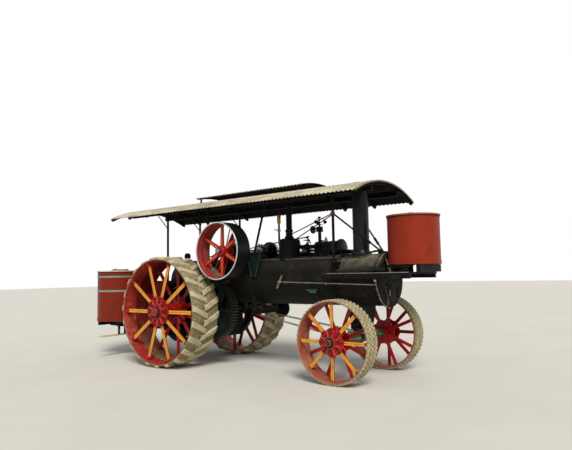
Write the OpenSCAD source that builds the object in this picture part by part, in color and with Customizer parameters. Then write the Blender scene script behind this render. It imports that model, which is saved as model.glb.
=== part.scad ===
// Steam traction engine for ploughing and threshing, with its canopy and water tanks.
// Millimetres. X points forward, Y to the engine's left, Z up, the ground at Z = 0.
// Inside the modules X is counted from the rear axle; stand() moves it to the part's origin,
// which lies on the ground under the middle of the whole engine.

/* [Rear wheels] */
// Radius over the tips of the rubber lugs
rear_tip_r = 1010; // [960:5:1060]
// Height of a lug above the rubber between the lugs
rear_lug_h = 42; // [20:1:55]
// Thickness of the rubber between the lugs
rear_rubber = 26; // [15:1:40]
// Width of the wheel
rear_wheel_w = 626; // [500:1:680]
// Distance from the centre line to the wheel's outer face
rear_outer_y = 1318; // [1290:1:1400]
// Chevrons of lugs around the tread
rear_chevrons = 23; // [18:1:26]
// Thickness of the steel rim
rim_wall = 14; // [8:1:20]
// Spokes in each of the two rows
rear_spokes = 10; // [8:1:12]
// Width of a flat spoke
rear_spoke_w = 72; // [50:1:90]
// Thickness of a flat spoke
spoke_t = 18; // [10:1:24]
// Distance from the outer face in to the outer row of spokes
rear_spoke_inset = 84; // [60:1:110]
// Radius of the hub's lobed flanges
rear_flange_r = 285; // [240:1:310]
// Radius of the hub's barrel
rear_hub_r = 128; // [110:1:150]
// Radius of the stub axle
rear_axle_r = 76; // [60:1:90]
// Reach of the axle's end beyond the wheel's outer face
axle_overhang = 40; // [20:1:70]

/* [Front wheels] */
// Distance from the rear axle to the front axle
wheelbase = 3526; // [3400:2:3650]
// Radius over the tread blocks
front_tip_r = 633; // [600:1:660]
// Height of a tread block
front_lug_h = 16; // [8:1:24]
// Thickness of the rubber between the blocks
front_rubber = 20; // [12:1:30]
// Width of the wheel
front_wheel_w = 277; // [240:1:320]
// Distance from the centre line to the wheel's outer face
front_outer_y = 959; // [940:1:1000]
// Spokes in each of the two rows
front_spokes = 8; // [6:1:10]
// Width of a flat spoke
front_spoke_w = 56; // [40:1:70]
// Radius of the hub's lobed flange
front_flange_r = 215; // [180:1:240]
// Radius of the hub's barrel
front_hub_r = 84; // [70:1:100]
// Radius of the axle's journal
front_axle_r = 46; // [36:1:56]

/* [Boiler] */
// Radius of the barrel and the smokebox
boiler_r = 415; // [395:1:425]
// Height of the barrel's centre line
boiler_z = 1540; // [1530:1:1560]
// Where the firebox ends and the barrel starts
barrel_rear_x = 560; // [540:1:575]
// Reach of the smokebox behind the front axle
smokebox_behind = 276; // [236:1:326]
// Reach of the smokebox ahead of the front axle
smokebox_ahead = 504; // [484:1:514]
// Wall of the smokebox and its front plate
plate_t = 20; // [12:1:26]
// Back plate of the firebox
firebox_back_x = -620; // [-640:1:-600]
// Half width of the firebox
firebox_r = 425; // [420:1:435]
// Wall of the firebox
firebox_wall = 30; // [20:1:40]
// Bottom of the firebox
firebox_z = 660; // [640:1:700]
// Bottom of the ash pan
ashpan_z = 480; // [440:1:520]
// Distance from the front axle forward to the stack
stack_ahead = 24; // [-6:1:54]
// Stack's outer radius
stack_r = 133; // [120:1:140]
// Height of the stack's top over the crown of the roof
stack_rise = 21; // [8:1:60]

/* [Engine] */
// Crankshaft's place along the engine
crank_x = 1210; // [1200:1:1225]
// Crankshaft's height
crank_z = 2083; // [2070:1:2095]
// Crankshaft's radius
crank_r = 46; // [36:1:52]
// Flywheel's radius
flywheel_r = 510; // [480:1:525]
// Flywheel's width
flywheel_w = 329; // [300:1:340]
// Distance from the centre line to the flywheel's outer face
flywheel_y = 990; // [985:1:1010]
// Stroke of the piston
stroke = 300; // [260:1:310]
// Distance from the centre line to the cylinder's axis
cylinder_y = 620; // [610:1:640]
// Outer radius of the cylinder
cylinder_r = 165; // [140:1:175]
// Length of the cylinder
cylinder_len = 460; // [420:1:500]
// Length of the connecting rod
rod_len = 820; // [780:1:840]

/* [Gears] */
// Tooth size of all gears, pitch diameter over teeth
gear_module = 17; // [16:0.1:17.4]
// Play between meshing teeth
backlash = 4.6; // [3:0.1:6]
// Face width of the gears
gear_face = 140; // [100:1:150]
// Teeth of the bull gear on each rear wheel
bull_teeth = 70; // [68:1:72]
// Teeth of each bull pinion
pinion_teeth = 14; // [13:1:15]
// Teeth of the compensating gear
comp_teeth = 60; // [58:1:61]
// Teeth of the idler
idler_teeth = 34; // [33:1:36]
// Teeth of the crankshaft's pinion
crank_teeth = 16; // [15:1:17]
// Radius of the countershaft
counter_r = 42; // [36:1:48]

/* [Canopy] */
// Rear edge of the roof
roof_rear_x = -1823; // [-1900:1:-1780]
// Reach of the roof ahead of the front axle
roof_ahead = 517; // [509:1:524]
// Half width of the roof
roof_half_w = 1011; // [1000:1:1060]
// Height of the roof's side edges, at the sheet's underside
roof_edge_z = 2852; // [2840:1:2900]
// Rise of the crown over the edges
roof_rise = 239; // [220:1:260]
// Depth of the corrugated sheet
sheet_t = 20; // [14:1:24]
// Rear end of the open slot in the crown
slot_rear_x = 260; // [200:1:320]
// Front end of the open slot
slot_front_x = 2650; // [2600:1:2700]
// Half width of the open slot
slot_half_w = 330; // [300:1:360]
// Half width of the raised roof over the slot
monitor_half_w = 480; // [460:1:500]
// Height of the raised roof above the main roof
monitor_lift = 105; // [95:1:130]
// Overhang of the raised roof at both ends of the slot
monitor_reach = 110; // [80:1:130]

/* [Tanks] */
// Distance from the front axle forward to the front tank's axis
front_tank_ahead = 940; // [934:1:954]
// Front tank's radius
front_tank_r = 396; // [380:1:400]
// Bottom of the front tank
front_tank_z = 1766; // [1760:1:1780]
// Height of the front tank
front_tank_h = 757; // [740:1:800]
// Rear tank's place along the engine
rear_tank_x = -2180; // [-2200:1:-2170]
// Distance from the centre line to the rear tank's axis
rear_tank_y = 545; // [530:1:560]
// Rear tank's radius
rear_tank_r = 440; // [420:1:445]
// Height of the rear tank
rear_tank_h = 1070; // [1000:1:1120]
// Wall of the tanks and of the coal bunker
tank_wall = 12; // [8:1:16]
// Radius of the tanks' filling holes
hatch_r = 150; // [120:1:160]
// Height of the coal bunker
bunker_h = 820; // [700:1:900]

/* [Frames] */
// Top of the rear frame, under the tanks
rear_frame_z = 724; // [715:1:740]
// Depth of the rear frame's channels
rear_channel_h = 120; // [100:1:130]
// Half width of the rear frame's cross beams and of the floor on them
rear_beam_y = 780; // [760:1:800]
// Width of a cross beam
rear_beam_w = 80; // [60:1:100]
// Top of the front platform
platform_z = 1652; // [1645:1:1660]
// Depth of the front platform's side channels
platform_h = 92; // [80:1:100]
// Half width of the front platform
platform_y = 500; // [490:1:515]
// Reach of the front platform ahead of the front axle
platform_ahead = 1074; // [1054:1:1114]
// Reach of the front platform's sides behind the front axle
platform_behind = 346; // [306:1:376]
// Place of the rear posts
rear_post_x = -682; // [-700:1:-670]
// Place of the middle posts
mid_post_x = 480; // [460:1:500]
// Distance from the front posts forward to the front axle
front_post_behind = 226; // [206:1:241]
// Radius of a post
post_r = 22; // [16:1:26]
// Height of the drawbar
drawbar_z = 560; // [540:1:600]
// Radius of the hole for the hitch pin
hitch_r = 22; // [16:1:28]

/* [Hidden] */
$fn = 64;

// Clearance between curved pieces that seat on each other
seat = 0.3;
// Clearance between pieces that move past each other
run = 8;

// Places that go with the front axle
smokebox_x = wheelbase - smokebox_behind;
smokebox_front_x = wheelbase + smokebox_ahead;
stack_x = wheelbase + stack_ahead;
stack_top_z = roof_edge_z + roof_rise + sheet_t + stack_rise;
roof_front_x = wheelbase + roof_ahead;
front_tank_x = wheelbase + front_tank_ahead;
platform_front_x = wheelbase + platform_ahead;
platform_rear_x = wheelbase - platform_behind;
front_post_x = wheelbase - front_post_behind;

// Rear end and front end of the whole engine, and from them the part's origin
tank_bead = 12;
drawbar_reach = 80;
drawbar_rear_x = rear_tank_x - rear_tank_r - drawbar_reach;
front_reach_x = front_tank_x + front_tank_r + tank_bead;
rear_axle_x = -(drawbar_rear_x + front_reach_x) / 2;

// Derived sizes of the rear wheels
rear_axle_z = rear_tip_r;
rear_tread_r = rear_tip_r - rear_lug_h;
rear_rim_r = rear_tread_r - rear_rubber;
rear_inner_y = rear_outer_y - rear_wheel_w;
rear_hub_out_y = rear_outer_y - rear_spoke_inset + spoke_t + 24;

// Derived sizes of the front wheels
front_axle_z = front_tip_r;
front_rim_r = front_tip_r - front_lug_h - front_rubber;
front_inner_y = front_outer_y - front_wheel_w;

// Gears: pitch radii, planes and centres
bull_r = gear_module * bull_teeth / 2;
pinion_r = gear_module * pinion_teeth / 2;
comp_r = gear_module * comp_teeth / 2;
idler_r = gear_module * idler_teeth / 2;
crank_gear_r = gear_module * crank_teeth / 2;
addendum = 0.9 * gear_module;
dedendum = 1.15 * gear_module;
comp_y1 = -(firebox_r + 24);
comp_y0 = comp_y1 - gear_face;
bull_y0 = -comp_y0 + 14;
bull_y1 = bull_y0 + gear_face;
rear_hub_in_y = bull_y0 - 4;
counter_x = bull_r + pinion_r;
counter_z = rear_axle_z;
// The idler lies behind the line from the countershaft to the crankshaft
train_d = norm([crank_x - counter_x, crank_z - counter_z]);
train_angle = atan2(crank_z - counter_z, crank_x - counter_x);
idler_near = comp_r + idler_r;
idler_far = idler_r + crank_gear_r;
idler_along = (idler_near * idler_near - idler_far * idler_far + train_d * train_d) / (2 * train_d);
idler_aside = sqrt(idler_near * idler_near - idler_along * idler_along);
idler_x = counter_x + idler_along * cos(train_angle) - idler_aside * sin(train_angle);
idler_z = counter_z + idler_along * sin(train_angle) + idler_aside * cos(train_angle);
// Angles of the teeth, so that each pair is in mesh
function mesh_phase(beta, phase_a, za, zb) = beta + 180 + (beta - phase_a) * za / zb + 180 / zb;
comp_phase = atan2(idler_z - counter_z, idler_x - counter_x);
idler_phase = mesh_phase(comp_phase, comp_phase, comp_teeth, idler_teeth);
crank_beta = atan2(crank_z - idler_z, crank_x - idler_x);
crank_phase = mesh_phase(crank_beta, idler_phase, idler_teeth, crank_teeth);
pinion_phase = mesh_phase(0, 0, bull_teeth, pinion_teeth);

// Roof arc
roof_r = (roof_half_w * roof_half_w + roof_rise * roof_rise) / (2 * roof_rise);
roof_cz = roof_edge_z + roof_rise - roof_r;
roof_angle = asin(roof_half_w / roof_r);
slot_angle = asin(slot_half_w / roof_r);
monitor_r = roof_r;
monitor_cz = roof_cz + monitor_lift;
monitor_angle = asin(monitor_half_w / monitor_r);

// Shared shapes
module stand() translate([rear_axle_x, 0, 0]) children();
module box(x0, x1, y0, y1, z0, z1) translate([x0, y0, z0]) cube([x1 - x0, y1 - y0, z1 - z0]);
module rod_x(y, z, r, x0, x1) translate([x0, y, z]) rotate([0, 90, 0]) cylinder(r = r, h = x1 - x0);
module rod_y(x, z, r, y0, y1) translate([x, y1, z]) rotate([90, 0, 0]) cylinder(r = r, h = y1 - y0);
module rod_z(x, y, r, z0, z1) translate([x, y, z0]) cylinder(r = r, h = z1 - z0);
// Round bar between two points
module bar(a, b, r) {
    d = b - a;
    translate(a) rotate([0, acos(d[2] / norm(d)), atan2(d[1], d[0])]) cylinder(r = r, h = norm(d), $fn = 24);
}
// Outline in X and Z, given width along Y
module slab(y0, y1) translate([0, y1, 0]) rotate([90, 0, 0]) linear_extrude(y1 - y0) children();
// Outline in Y and Z, given length along X
module prism(x0, x1) translate([x0, 0, 0]) rotate([90, 0, 90]) linear_extrude(x1 - x0) children();
// The room that the barrel and the smokebox take, for whatever is saddled on them
module boiler_space() translate([barrel_rear_x - 1, 0, boiler_z]) rotate([0, 90, 0])
    cylinder(r = boiler_r + seat, h = smokebox_front_x - barrel_rear_x + 2, $fn = 256);
module mirror_y() {
    children();
    mirror([0, 1, 0]) children();
}

// Gear outline: each tooth has straight flanks between root and tip
function gear_points(teeth, phase) = let (
        r = gear_module * teeth / 2,
        half = (PI * gear_module / 2 - backlash) / 2,
        root = (half + dedendum * tan(20)) / (r - dedendum) * 180 / PI,
        tip = (half - addendum * tan(20)) / (r + addendum) * 180 / PI)
    [for (i = [0 : teeth - 1]) for (p = [[r - dedendum, -root], [r + addendum, -tip],
        [r + addendum, tip], [r - dedendum, root]])
        let (a = phase + i * 360 / teeth + p[1]) [p[0] * cos(a), p[0] * sin(a)]];
// Toothed ring on arms about a round hub
module gear_outline(teeth, phase, ring, arms, arm_w, hub, bore) {
    r = gear_module * teeth / 2 - dedendum - ring;
    difference() {
        polygon(gear_points(teeth, phase));
        circle(r = r, $fn = 96);
    }
    difference() {
        union() {
            circle(r = hub);
            for (i = [0 : arms - 1])
                rotate(i * 360 / arms) translate([0, -arm_w / 2]) square([r + ring / 2, arm_w]);
        }
        circle(r = bore);
    }
}

// Boiler
module boiler_barrel() color("#2c2d2e") stand() rod_x(0, boiler_z, boiler_r, barrel_rear_x, smokebox_x);

module smokebox() color("#3a3a38") stand() difference() {
    rod_x(0, boiler_z, boiler_r, smokebox_x, smokebox_front_x);
    rod_x(0, boiler_z, boiler_r - plate_t, smokebox_x + plate_t, smokebox_front_x + 1);
    rod_z(stack_x, 0, stack_r - 12, boiler_z, boiler_z + boiler_r + 1);
}

// The door in the smokebox front is low, so that it opens under the platform
sb_door_r = 165;
sb_door_z = boiler_z - boiler_r + sb_door_r + 45;
door_t = 14;
hinge_r = 9;
knuckle_r = 17;
front_flange_t = 26;
front_face_x = smokebox_front_x + front_flange_t;
sb_hinge_y = sb_door_r + knuckle_r + 6;
sb_hinge_x = front_face_x + knuckle_r + 2;
module smokebox_front() color("#313130") stand() {
    difference() {
        rod_x(0, boiler_z, boiler_r + 18, smokebox_front_x, front_face_x);
        rod_x(0, sb_door_z, sb_door_r - 18, smokebox_front_x - 1, front_face_x + 1);
    }
    hinge_x = front_face_x;
    for (s = [-1, 1]) box(hinge_x, sb_hinge_x + 10, sb_hinge_y - 8, sb_hinge_y + 8, sb_door_z + s * 70 - 12,
        sb_door_z + s * 70 + 12);
    rod_z(sb_hinge_x, sb_hinge_y, hinge_r, sb_door_z - 82, sb_door_z + 82);
}
module smokebox_door() color("#2b2b2b") stand() difference() {
    union() {
        rod_x(0, sb_door_z, sb_door_r, front_face_x + seat, front_face_x + door_t);
        box(front_face_x + seat, sb_hinge_x, 0, sb_hinge_y, sb_door_z - 20, sb_door_z + 20);
        rod_z(sb_hinge_x, sb_hinge_y, knuckle_r, sb_door_z - 57, sb_door_z + 57);
    }
    rod_z(sb_hinge_x, sb_hinge_y, hinge_r + seat, sb_door_z - 100, sb_door_z + 100);
}

module stack() color("#303234") stand() difference() {
    union() {
        rod_z(stack_x, 0, stack_r, boiler_z + boiler_r - 60, stack_top_z);
        rod_z(stack_x, 0, stack_r + 34, boiler_z + boiler_r - 60, boiler_z + boiler_r + 22);
    }
    boiler_space();
    rod_z(stack_x, 0, stack_r - 12, boiler_z, stack_top_z + 1);
}

// Firebox
fire_door_z = 1150;
fire_door_w = 360;
fire_door_h = 280;
door_lap = 20;
fd_hinge_y = fire_door_w / 2 + 46;
fd_hinge_x = firebox_back_x - knuckle_r - 2;
module firebox_outline(r, z0) {
    translate([0, boiler_z]) circle(r = r);
    translate([-r, z0]) square([2 * r, boiler_z - z0]);
}
// The box is riveted from plates: front, back with the fire hole, two sides and the round crown
module firebox() color("#242424") stand() {
    side_x0 = firebox_back_x + firebox_wall + seat;
    side_x1 = barrel_rear_x - firebox_wall - seat;
    prism(barrel_rear_x - firebox_wall, barrel_rear_x) firebox_outline(firebox_r, firebox_z);
    difference() {
        prism(firebox_back_x, firebox_back_x + firebox_wall) firebox_outline(firebox_r, firebox_z);
        box(firebox_back_x - 1, side_x0 + 1, -fire_door_w / 2 + door_lap, fire_door_w / 2 - door_lap,
            fire_door_z - fire_door_h / 2 + door_lap, fire_door_z + fire_door_h / 2 - door_lap);
    }
    mirror_y() box(side_x0, side_x1, firebox_r - firebox_wall, firebox_r, firebox_z, boiler_z - seat);
    prism(side_x0, side_x1) translate([0, boiler_z]) difference() {
        circle(r = firebox_r);
        circle(r = firebox_r - firebox_wall);
        translate([-firebox_r, -firebox_r]) square([2 * firebox_r, firebox_r]);
    }
    for (s = [-1, 1]) box(fd_hinge_x - 10, firebox_back_x, fd_hinge_y - 8, fd_hinge_y + 8,
        fire_door_z + s * 95 - 12, fire_door_z + s * 95 + 12);
    rod_z(fd_hinge_x, fd_hinge_y, hinge_r, fire_door_z - 107, fire_door_z + 107);
}
module firebox_door() color("#202020") stand() difference() {
    union() {
        box(firebox_back_x - door_t, firebox_back_x - seat, -fire_door_w / 2, fire_door_w / 2,
            fire_door_z - fire_door_h / 2, fire_door_z + fire_door_h / 2);
        box(fd_hinge_x, firebox_back_x - seat, 0, fd_hinge_y, fire_door_z - 20, fire_door_z + 20);
        rod_z(fd_hinge_x, fd_hinge_y, knuckle_r, fire_door_z - 82, fire_door_z + 82);
    }
    rod_z(fd_hinge_x, fd_hinge_y, hinge_r + seat, fire_door_z - 130, fire_door_z + 130);
}
pan_inset = 10;
pan_wall = 12;
module pan_box(inset, z0, z1) box(firebox_back_x + inset, barrel_rear_x - inset, -firebox_r + inset,
    firebox_r - inset, z0, z1);
module ashpan() color("#1d1d1d") stand() difference() {
    pan_box(pan_inset, ashpan_z, firebox_z - seat);
    pan_box(pan_inset + pan_wall, ashpan_z + pan_wall, firebox_z);
}

// Steam dome with the safety valve's tall vent and the whistle
dome_x = 2080;
dome_r = 190;
dome_top_z = boiler_z + boiler_r + 300;
vent_r = 54;
vent_top_z = 2900;
whistle_x = 1850;
whistle_z = 2760;
whistle_h = 170;
whistle_r = 34;
whistle_pipe_r = 18;
whistle_pipe_z = dome_top_z - 60;
module steam_dome() color("#2a2a2a") stand() difference() {
    union() {
        rod_z(dome_x, 0, dome_r, boiler_z + boiler_r - 70, dome_top_z);
        rod_z(dome_x, 0, dome_r + 30, boiler_z + boiler_r - 70, boiler_z + boiler_r + 20);
        rod_z(dome_x, 0, vent_r, dome_top_z - 1, vent_top_z);
        bar([dome_x - dome_r + 20, 0, whistle_pipe_z], [whistle_x, 0, whistle_pipe_z], whistle_pipe_r);
        rod_z(whistle_x, 0, whistle_pipe_r, whistle_pipe_z - whistle_pipe_r, whistle_z - whistle_h + 10);
        rod_z(whistle_x, 0, whistle_r, whistle_z - whistle_h, whistle_z);
    }
    boiler_space();
}

// Cylinder with its steam chest, on the left of the boiler
crosshead_x = crank_x + rod_len;
cylinder_x0 = crosshead_x + stroke / 2 + 170;
cylinder_x1 = cylinder_x0 + cylinder_len;
chest_w = 130;
module cylinder_block() color("#26282a") stand() difference() {
    union() {
        rod_x(cylinder_y, crank_z, cylinder_r, cylinder_x0, cylinder_x1);
        for (x = [cylinder_x0, cylinder_x1 - 34]) rod_x(cylinder_y, crank_z, cylinder_r + 26, x, x + 34);
        box(cylinder_x0 + 50, cylinder_x1 - 50, cylinder_y - cylinder_r - chest_w, cylinder_y,
            crank_z - 110, crank_z + 120);
        rod_z(cylinder_x0 + 120, cylinder_y - cylinder_r - 50, 30, crank_z + 100, crank_z + 330);
        rod_z(cylinder_x0 + 120, cylinder_y - cylinder_r - 50, 62, crank_z + 330, crank_z + 420);
        box(cylinder_x0 + 60, cylinder_x1 - 60, 200, cylinder_y - 60, boiler_z + 120, crank_z - 60);
    }
    boiler_space();
}

// Bed from the crankshaft's left bearing to the cylinder, with the crosshead's guides
bed_y0 = 382;
bed_y1 = 468;
guide_x0 = crosshead_x - stroke / 2 - 100;
guide_h = 80;
guide_w = 80;
guide_t = 24;
bed_drop = 120;
bearing_half = 88;
module engine_bed() color("#232526") stand() difference() {
    union() {
        box(crank_x - bearing_half, cylinder_x0, bed_y0, bed_y1, crank_z - bed_drop, crank_z - bed_drop + 80);
        box(crank_x - bearing_half, crank_x + bearing_half, bed_y0, bed_y1, crank_z - bed_drop,
            crank_z + bearing_half);
        for (x = [crank_x - 60, guide_x0 + 40])
            box(x, x + 120, 250, bed_y1, boiler_z + 60, crank_z - bed_drop + 1);
        for (z = [crank_z - guide_h - guide_t, crank_z + guide_h])
            box(guide_x0, cylinder_x0, cylinder_y - guide_w / 2, cylinder_y + guide_w / 2, z, z + guide_t);
        for (x = [guide_x0, cylinder_x0 - guide_w / 2])
            box(x, x + guide_w / 2, bed_y0, cylinder_y + guide_w / 2, crank_z - guide_h - 60,
                crank_z - guide_h - guide_t + 1);
        // Post and arm that carry the upper guide's rear end
        box(guide_x0 - guide_t, guide_x0 + 1, bed_y1 - 1, cylinder_y + guide_w / 2, crank_z + guide_h,
            crank_z + guide_h + guide_t);
        box(guide_x0 - guide_t, guide_x0 + 1, bed_y1 - guide_w / 2, bed_y1, crank_z - bed_drop,
            crank_z + guide_h + guide_t);
    }
    boiler_space();
    rod_y(crank_x, crank_z, crank_r + seat, bed_y0 - 1, bed_y1 + 1);
}

// Connecting rod, crosshead and piston rod. The crank pin ends short of the rod, which stands still.
disc_y0 = 490;
disc_y1 = 548;
pin_r = 32;
rod_t = 60;
rest_pin_z = crank_z - stroke / 2;
function small_end_x() = crank_x + sqrt(rod_len * rod_len - stroke * stroke / 4);
module connecting_rod() color("#8a8d90") stand() {
    rod_y(crank_x, rest_pin_z, 62, cylinder_y - rod_t / 2, cylinder_y + rod_t / 2);
    rod_y(small_end_x(), crank_z, 46, cylinder_y - rod_t / 2, cylinder_y + rod_t / 2);
    bar([crank_x, cylinder_y, rest_pin_z], [small_end_x(), cylinder_y, crank_z], 26);
    box(small_end_x() - 90, small_end_x() + 90, cylinder_y - guide_w / 2 + 4, cylinder_y + guide_w / 2 - 4,
        crank_z - guide_h + seat, crank_z + guide_h - seat);
    rod_x(cylinder_y, crank_z, 22, small_end_x(), cylinder_x0);
}

// Bearing of the crankshaft on the right of the boiler
rb_y0 = -420;
rb_y1 = -330;
module crank_bearings() color("#262829") stand() difference() {
    union() {
        box(crank_x - 85, crank_x + 85, rb_y0, rb_y1, boiler_z + 180, crank_z + 80);
        box(crank_x - 150, crank_x + 150, rb_y0, -200, boiler_z + 180, boiler_z + 330);
    }
    boiler_space();
    rod_y(crank_x, crank_z, crank_r + seat, rb_y0 - 1, rb_y1 + 1);
}

module crankshaft() color("#55585b") stand() {
    rod_y(crank_x, crank_z, crank_r, -flywheel_y + 30, disc_y1);
    rod_y(crank_x, crank_z, stroke / 2 + 58, disc_y0, disc_y1);
    rod_y(crank_x, rest_pin_z, pin_r, disc_y0, cylinder_y - rod_t / 2 - run);
    translate([crank_x, 0, crank_z]) slab(comp_y0, comp_y1) polygon(gear_points(crank_teeth, crank_phase));
}

// Flywheel: six tapered arms between the hub and the broad rim
fw_y0 = -flywheel_y;
fw_y1 = fw_y0 + flywheel_w;
fw_arm_y = fw_y0 + 150;
module flywheel() color("#3a3b3c") stand() translate([crank_x, 0, crank_z]) difference() {
    union() {
        slab(fw_y0, fw_y1) difference() {
            circle(r = flywheel_r, $fn = 128);
            circle(r = flywheel_r - 26, $fn = 128);
        }
        slab(fw_arm_y, fw_arm_y + 34) for (i = [0 : 5]) rotate(30 + i * 60)
            polygon([[60, -44], [flywheel_r - 20, -27], [flywheel_r - 20, 27], [60, 44]]);
        slab(fw_arm_y - 50, fw_arm_y + 90) circle(r = 96);
    }
    slab(fw_y0, fw_y1) circle(r = crank_r + seat);
}

module idler_gear() color("#2a3a32") stand() translate([idler_x, 0, idler_z])
    slab(comp_y0, comp_y1) gear_outline(idler_teeth, idler_phase, 30, 5, 46, 80, 34 + seat);
module compensating_gear() color("#26332c") stand() translate([counter_x, 0, counter_z])
    slab(comp_y0, comp_y1) gear_outline(comp_teeth, comp_phase, 40, 6, 60, 120, counter_r + seat);

module left_countershaft() color("#4a4c4e") stand() {
    rod_y(counter_x, counter_z, counter_r, -bull_y1 - 20, bull_y1 + 20);
    translate([counter_x, 0, counter_z]) slab(bull_y0, bull_y1)
        polygon(gear_points(pinion_teeth, pinion_phase));
}
module right_pinion() color("#4a4c4e") stand() translate([counter_x, 0, counter_z])
    slab(-bull_y1, -bull_y0) difference() {
        polygon(gear_points(pinion_teeth, pinion_phase));
        circle(r = counter_r + seat);
    }

// Hangers of the countershaft under the barrel, and the idler's stud on the boiler's side
hanger_y = [-300, 220];
hanger_t = 80;
hanger_half_w = 70;
idler_foot_y = 250;
idler_foot = 90;
stud_r = 34;
strut_x = crank_x + 408;
strut_y = 440;
strut_z = crank_z - 38;
strut_foot_z = boiler_z + 70;
strut_r = 20;
strut_lean = 287;
module gear_brackets() color("#28332d") stand() {
    for (y = hanger_y) difference() {
        union() {
            rod_y(counter_x, counter_z, hanger_half_w + 8, y, y + hanger_t);
            box(counter_x - hanger_half_w, counter_x + hanger_half_w, y, y + hanger_t, counter_z,
                boiler_z - boiler_r / 3);
        }
        boiler_space();
        rod_y(counter_x, counter_z, counter_r + seat, y - 1, y + hanger_t + 1);
    }
    // Bracket on the barrel's right side that carries the canopy's strut
    slab(-strut_y - strut_r, -strut_y + strut_r) polygon([[strut_x - 55, strut_foot_z],
        [strut_x + 45, strut_foot_z], [strut_x + 175, strut_z], [strut_x - 175, strut_z]]);
    difference() {
        box(strut_x - 55, strut_x + 45, 1 - strut_y, -boiler_r / 2, strut_foot_z, strut_foot_z + 110);
        boiler_space();
    }
    difference() {
        union() {
            rod_y(idler_x, idler_z, stud_r, comp_y0 - 14, -idler_foot_y - 50);
            box(idler_x - idler_foot, idler_x + idler_foot, comp_y1 + run, -idler_foot_y,
                idler_z - idler_foot, idler_z + idler_foot);
        }
        boiler_space();
    }
}

// Brackets on the firebox's sides, each with its stub axle
axle_plate_w = 320;
axle_plate_h = 520;
axle_plate_t = 20;
axle_boss_r = 130;
module axle_brackets() color("#2b2d2c") stand() mirror_y() {
    box(-axle_plate_w / 2, axle_plate_w / 2, firebox_r, firebox_r + axle_plate_t,
        rear_axle_z - axle_plate_h / 2, rear_axle_z + axle_plate_h / 2);
    rod_y(0, rear_axle_z, axle_boss_r, firebox_r + axle_plate_t, bull_y0 - 6);
    rod_y(0, rear_axle_z, rear_axle_r, firebox_r + axle_plate_t, rear_outer_y + axle_overhang);
}

// Rear wheels
module ring_y(r_out, r_in, y0, y1) slab(y0, y1) difference() {
    circle(r = r_out, $fn = 128);
    circle(r = r_in, $fn = 128);
}
// One row of flat spokes between hub and rim
module spokes_y(count, w, r0, r1, y0, y1, turn = 0)
    slab(y0, y1) for (i = [0 : count - 1]) rotate(turn + i * 360 / count)
        translate([r0, -w / 2]) square([r1 - r0, w]);
// Hub flange with a lobe for each spoke
module lobed_flange(count, r, lobe_r, y0, y1, turn = 0) slab(y0, y1) union() {
    circle(r = r - lobe_r);
    for (i = [0 : count - 1]) rotate(turn + i * 360 / count) translate([r - lobe_r, 0]) circle(r = lobe_r);
}
outer_spoke_y = rear_outer_y - rear_spoke_inset;
inner_spoke_y = bull_y1 + 30;
inner_hub_out_y = inner_spoke_y + spoke_t + 20;
rear_lobe_r = 90;
front_lobe_r = 84;
front_spoke_t = 14;
module rear_wheel() translate([0, 0, rear_axle_z]) difference() {
    union() {
        ring_y(rear_rim_r, rear_rim_r - rim_wall, rear_inner_y, rear_outer_y);
        for (row = [[outer_spoke_y, 0, rear_hub_out_y],
            [inner_spoke_y, 180 / rear_spokes, inner_hub_out_y]]) {
            spokes_y(rear_spokes, rear_spoke_w, rear_hub_r - 10, rear_rim_r - 6, row[0],
                row[0] + spoke_t, row[1]);
            lobed_flange(rear_spokes, rear_flange_r, rear_lobe_r, row[0] + spoke_t - 1, row[2], row[1]);
        }
        slab(rear_hub_in_y, rear_outer_y - 8) circle(r = rear_hub_r);
    }
    slab(rear_hub_in_y - 1, rear_outer_y) circle(r = rear_axle_r + seat);
}
module rear_wheel_right() color("#c01f22") stand() mirror([0, 1, 0]) rear_wheel();
module rear_wheel_left() color("#c01f22") stand() rear_wheel();

module bull_gear() translate([0, 0, rear_axle_z]) slab(bull_y0, bull_y1)
    gear_outline(bull_teeth, 0, 44, 8, 64, rear_hub_r + 40, rear_hub_r + seat);
module bull_gear_right() color("#22302a") stand() mirror([0, 1, 0]) bull_gear();
module bull_gear_left() color("#22302a") stand() bull_gear();

// Rubber treads with chevron lugs: each lug runs from the middle to a shoulder.
// The tread has four flats to a chevron, so that its lugs meet it in true edges.
lug_w = 66;
lug_inner = 26;
lug_slant = 150;
function flats(r, count) = [for (i = [0 : count - 1]) [r * cos(i * 360 / count), r * sin(i * 360 / count)]];
module rear_lug(side) rotate([0, 90, 0]) translate([0, 0, rear_tread_r - 12]) linear_extrude(rear_lug_h + 40)
    let (y0 = -side * lug_inner, y1 = side * rear_wheel_w / 2)
        polygon([[-lug_w / 2, y0], [lug_w / 2, y0], [lug_w / 2 - lug_slant, y1],
            [-lug_w / 2 - lug_slant, y1]]);
module rear_tyre() translate([0, (rear_outer_y + rear_inner_y) / 2, rear_axle_z]) {
    far = rear_wheel_w / 2;
    difference() {
        slab(-far, far) polygon(flats(rear_tread_r, 4 * rear_chevrons));
        slab(-far - 1, far + 1) circle(r = rear_rim_r + seat, $fn = 128);
    }
    intersection() {
        for (i = [0 : rear_chevrons - 1]) for (s = [-1, 1])
            rotate([0, (i + s / 4) * 360 / rear_chevrons, 0]) rear_lug(s);
        slab(-far, far) polygon(flats(rear_tip_r, 4 * rear_chevrons));
    }
}
module rear_tyre_right() color("#a99b78") stand() mirror([0, 1, 0]) rear_tyre();
module rear_tyre_left() color("#a99b78") stand() rear_tyre();

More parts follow.
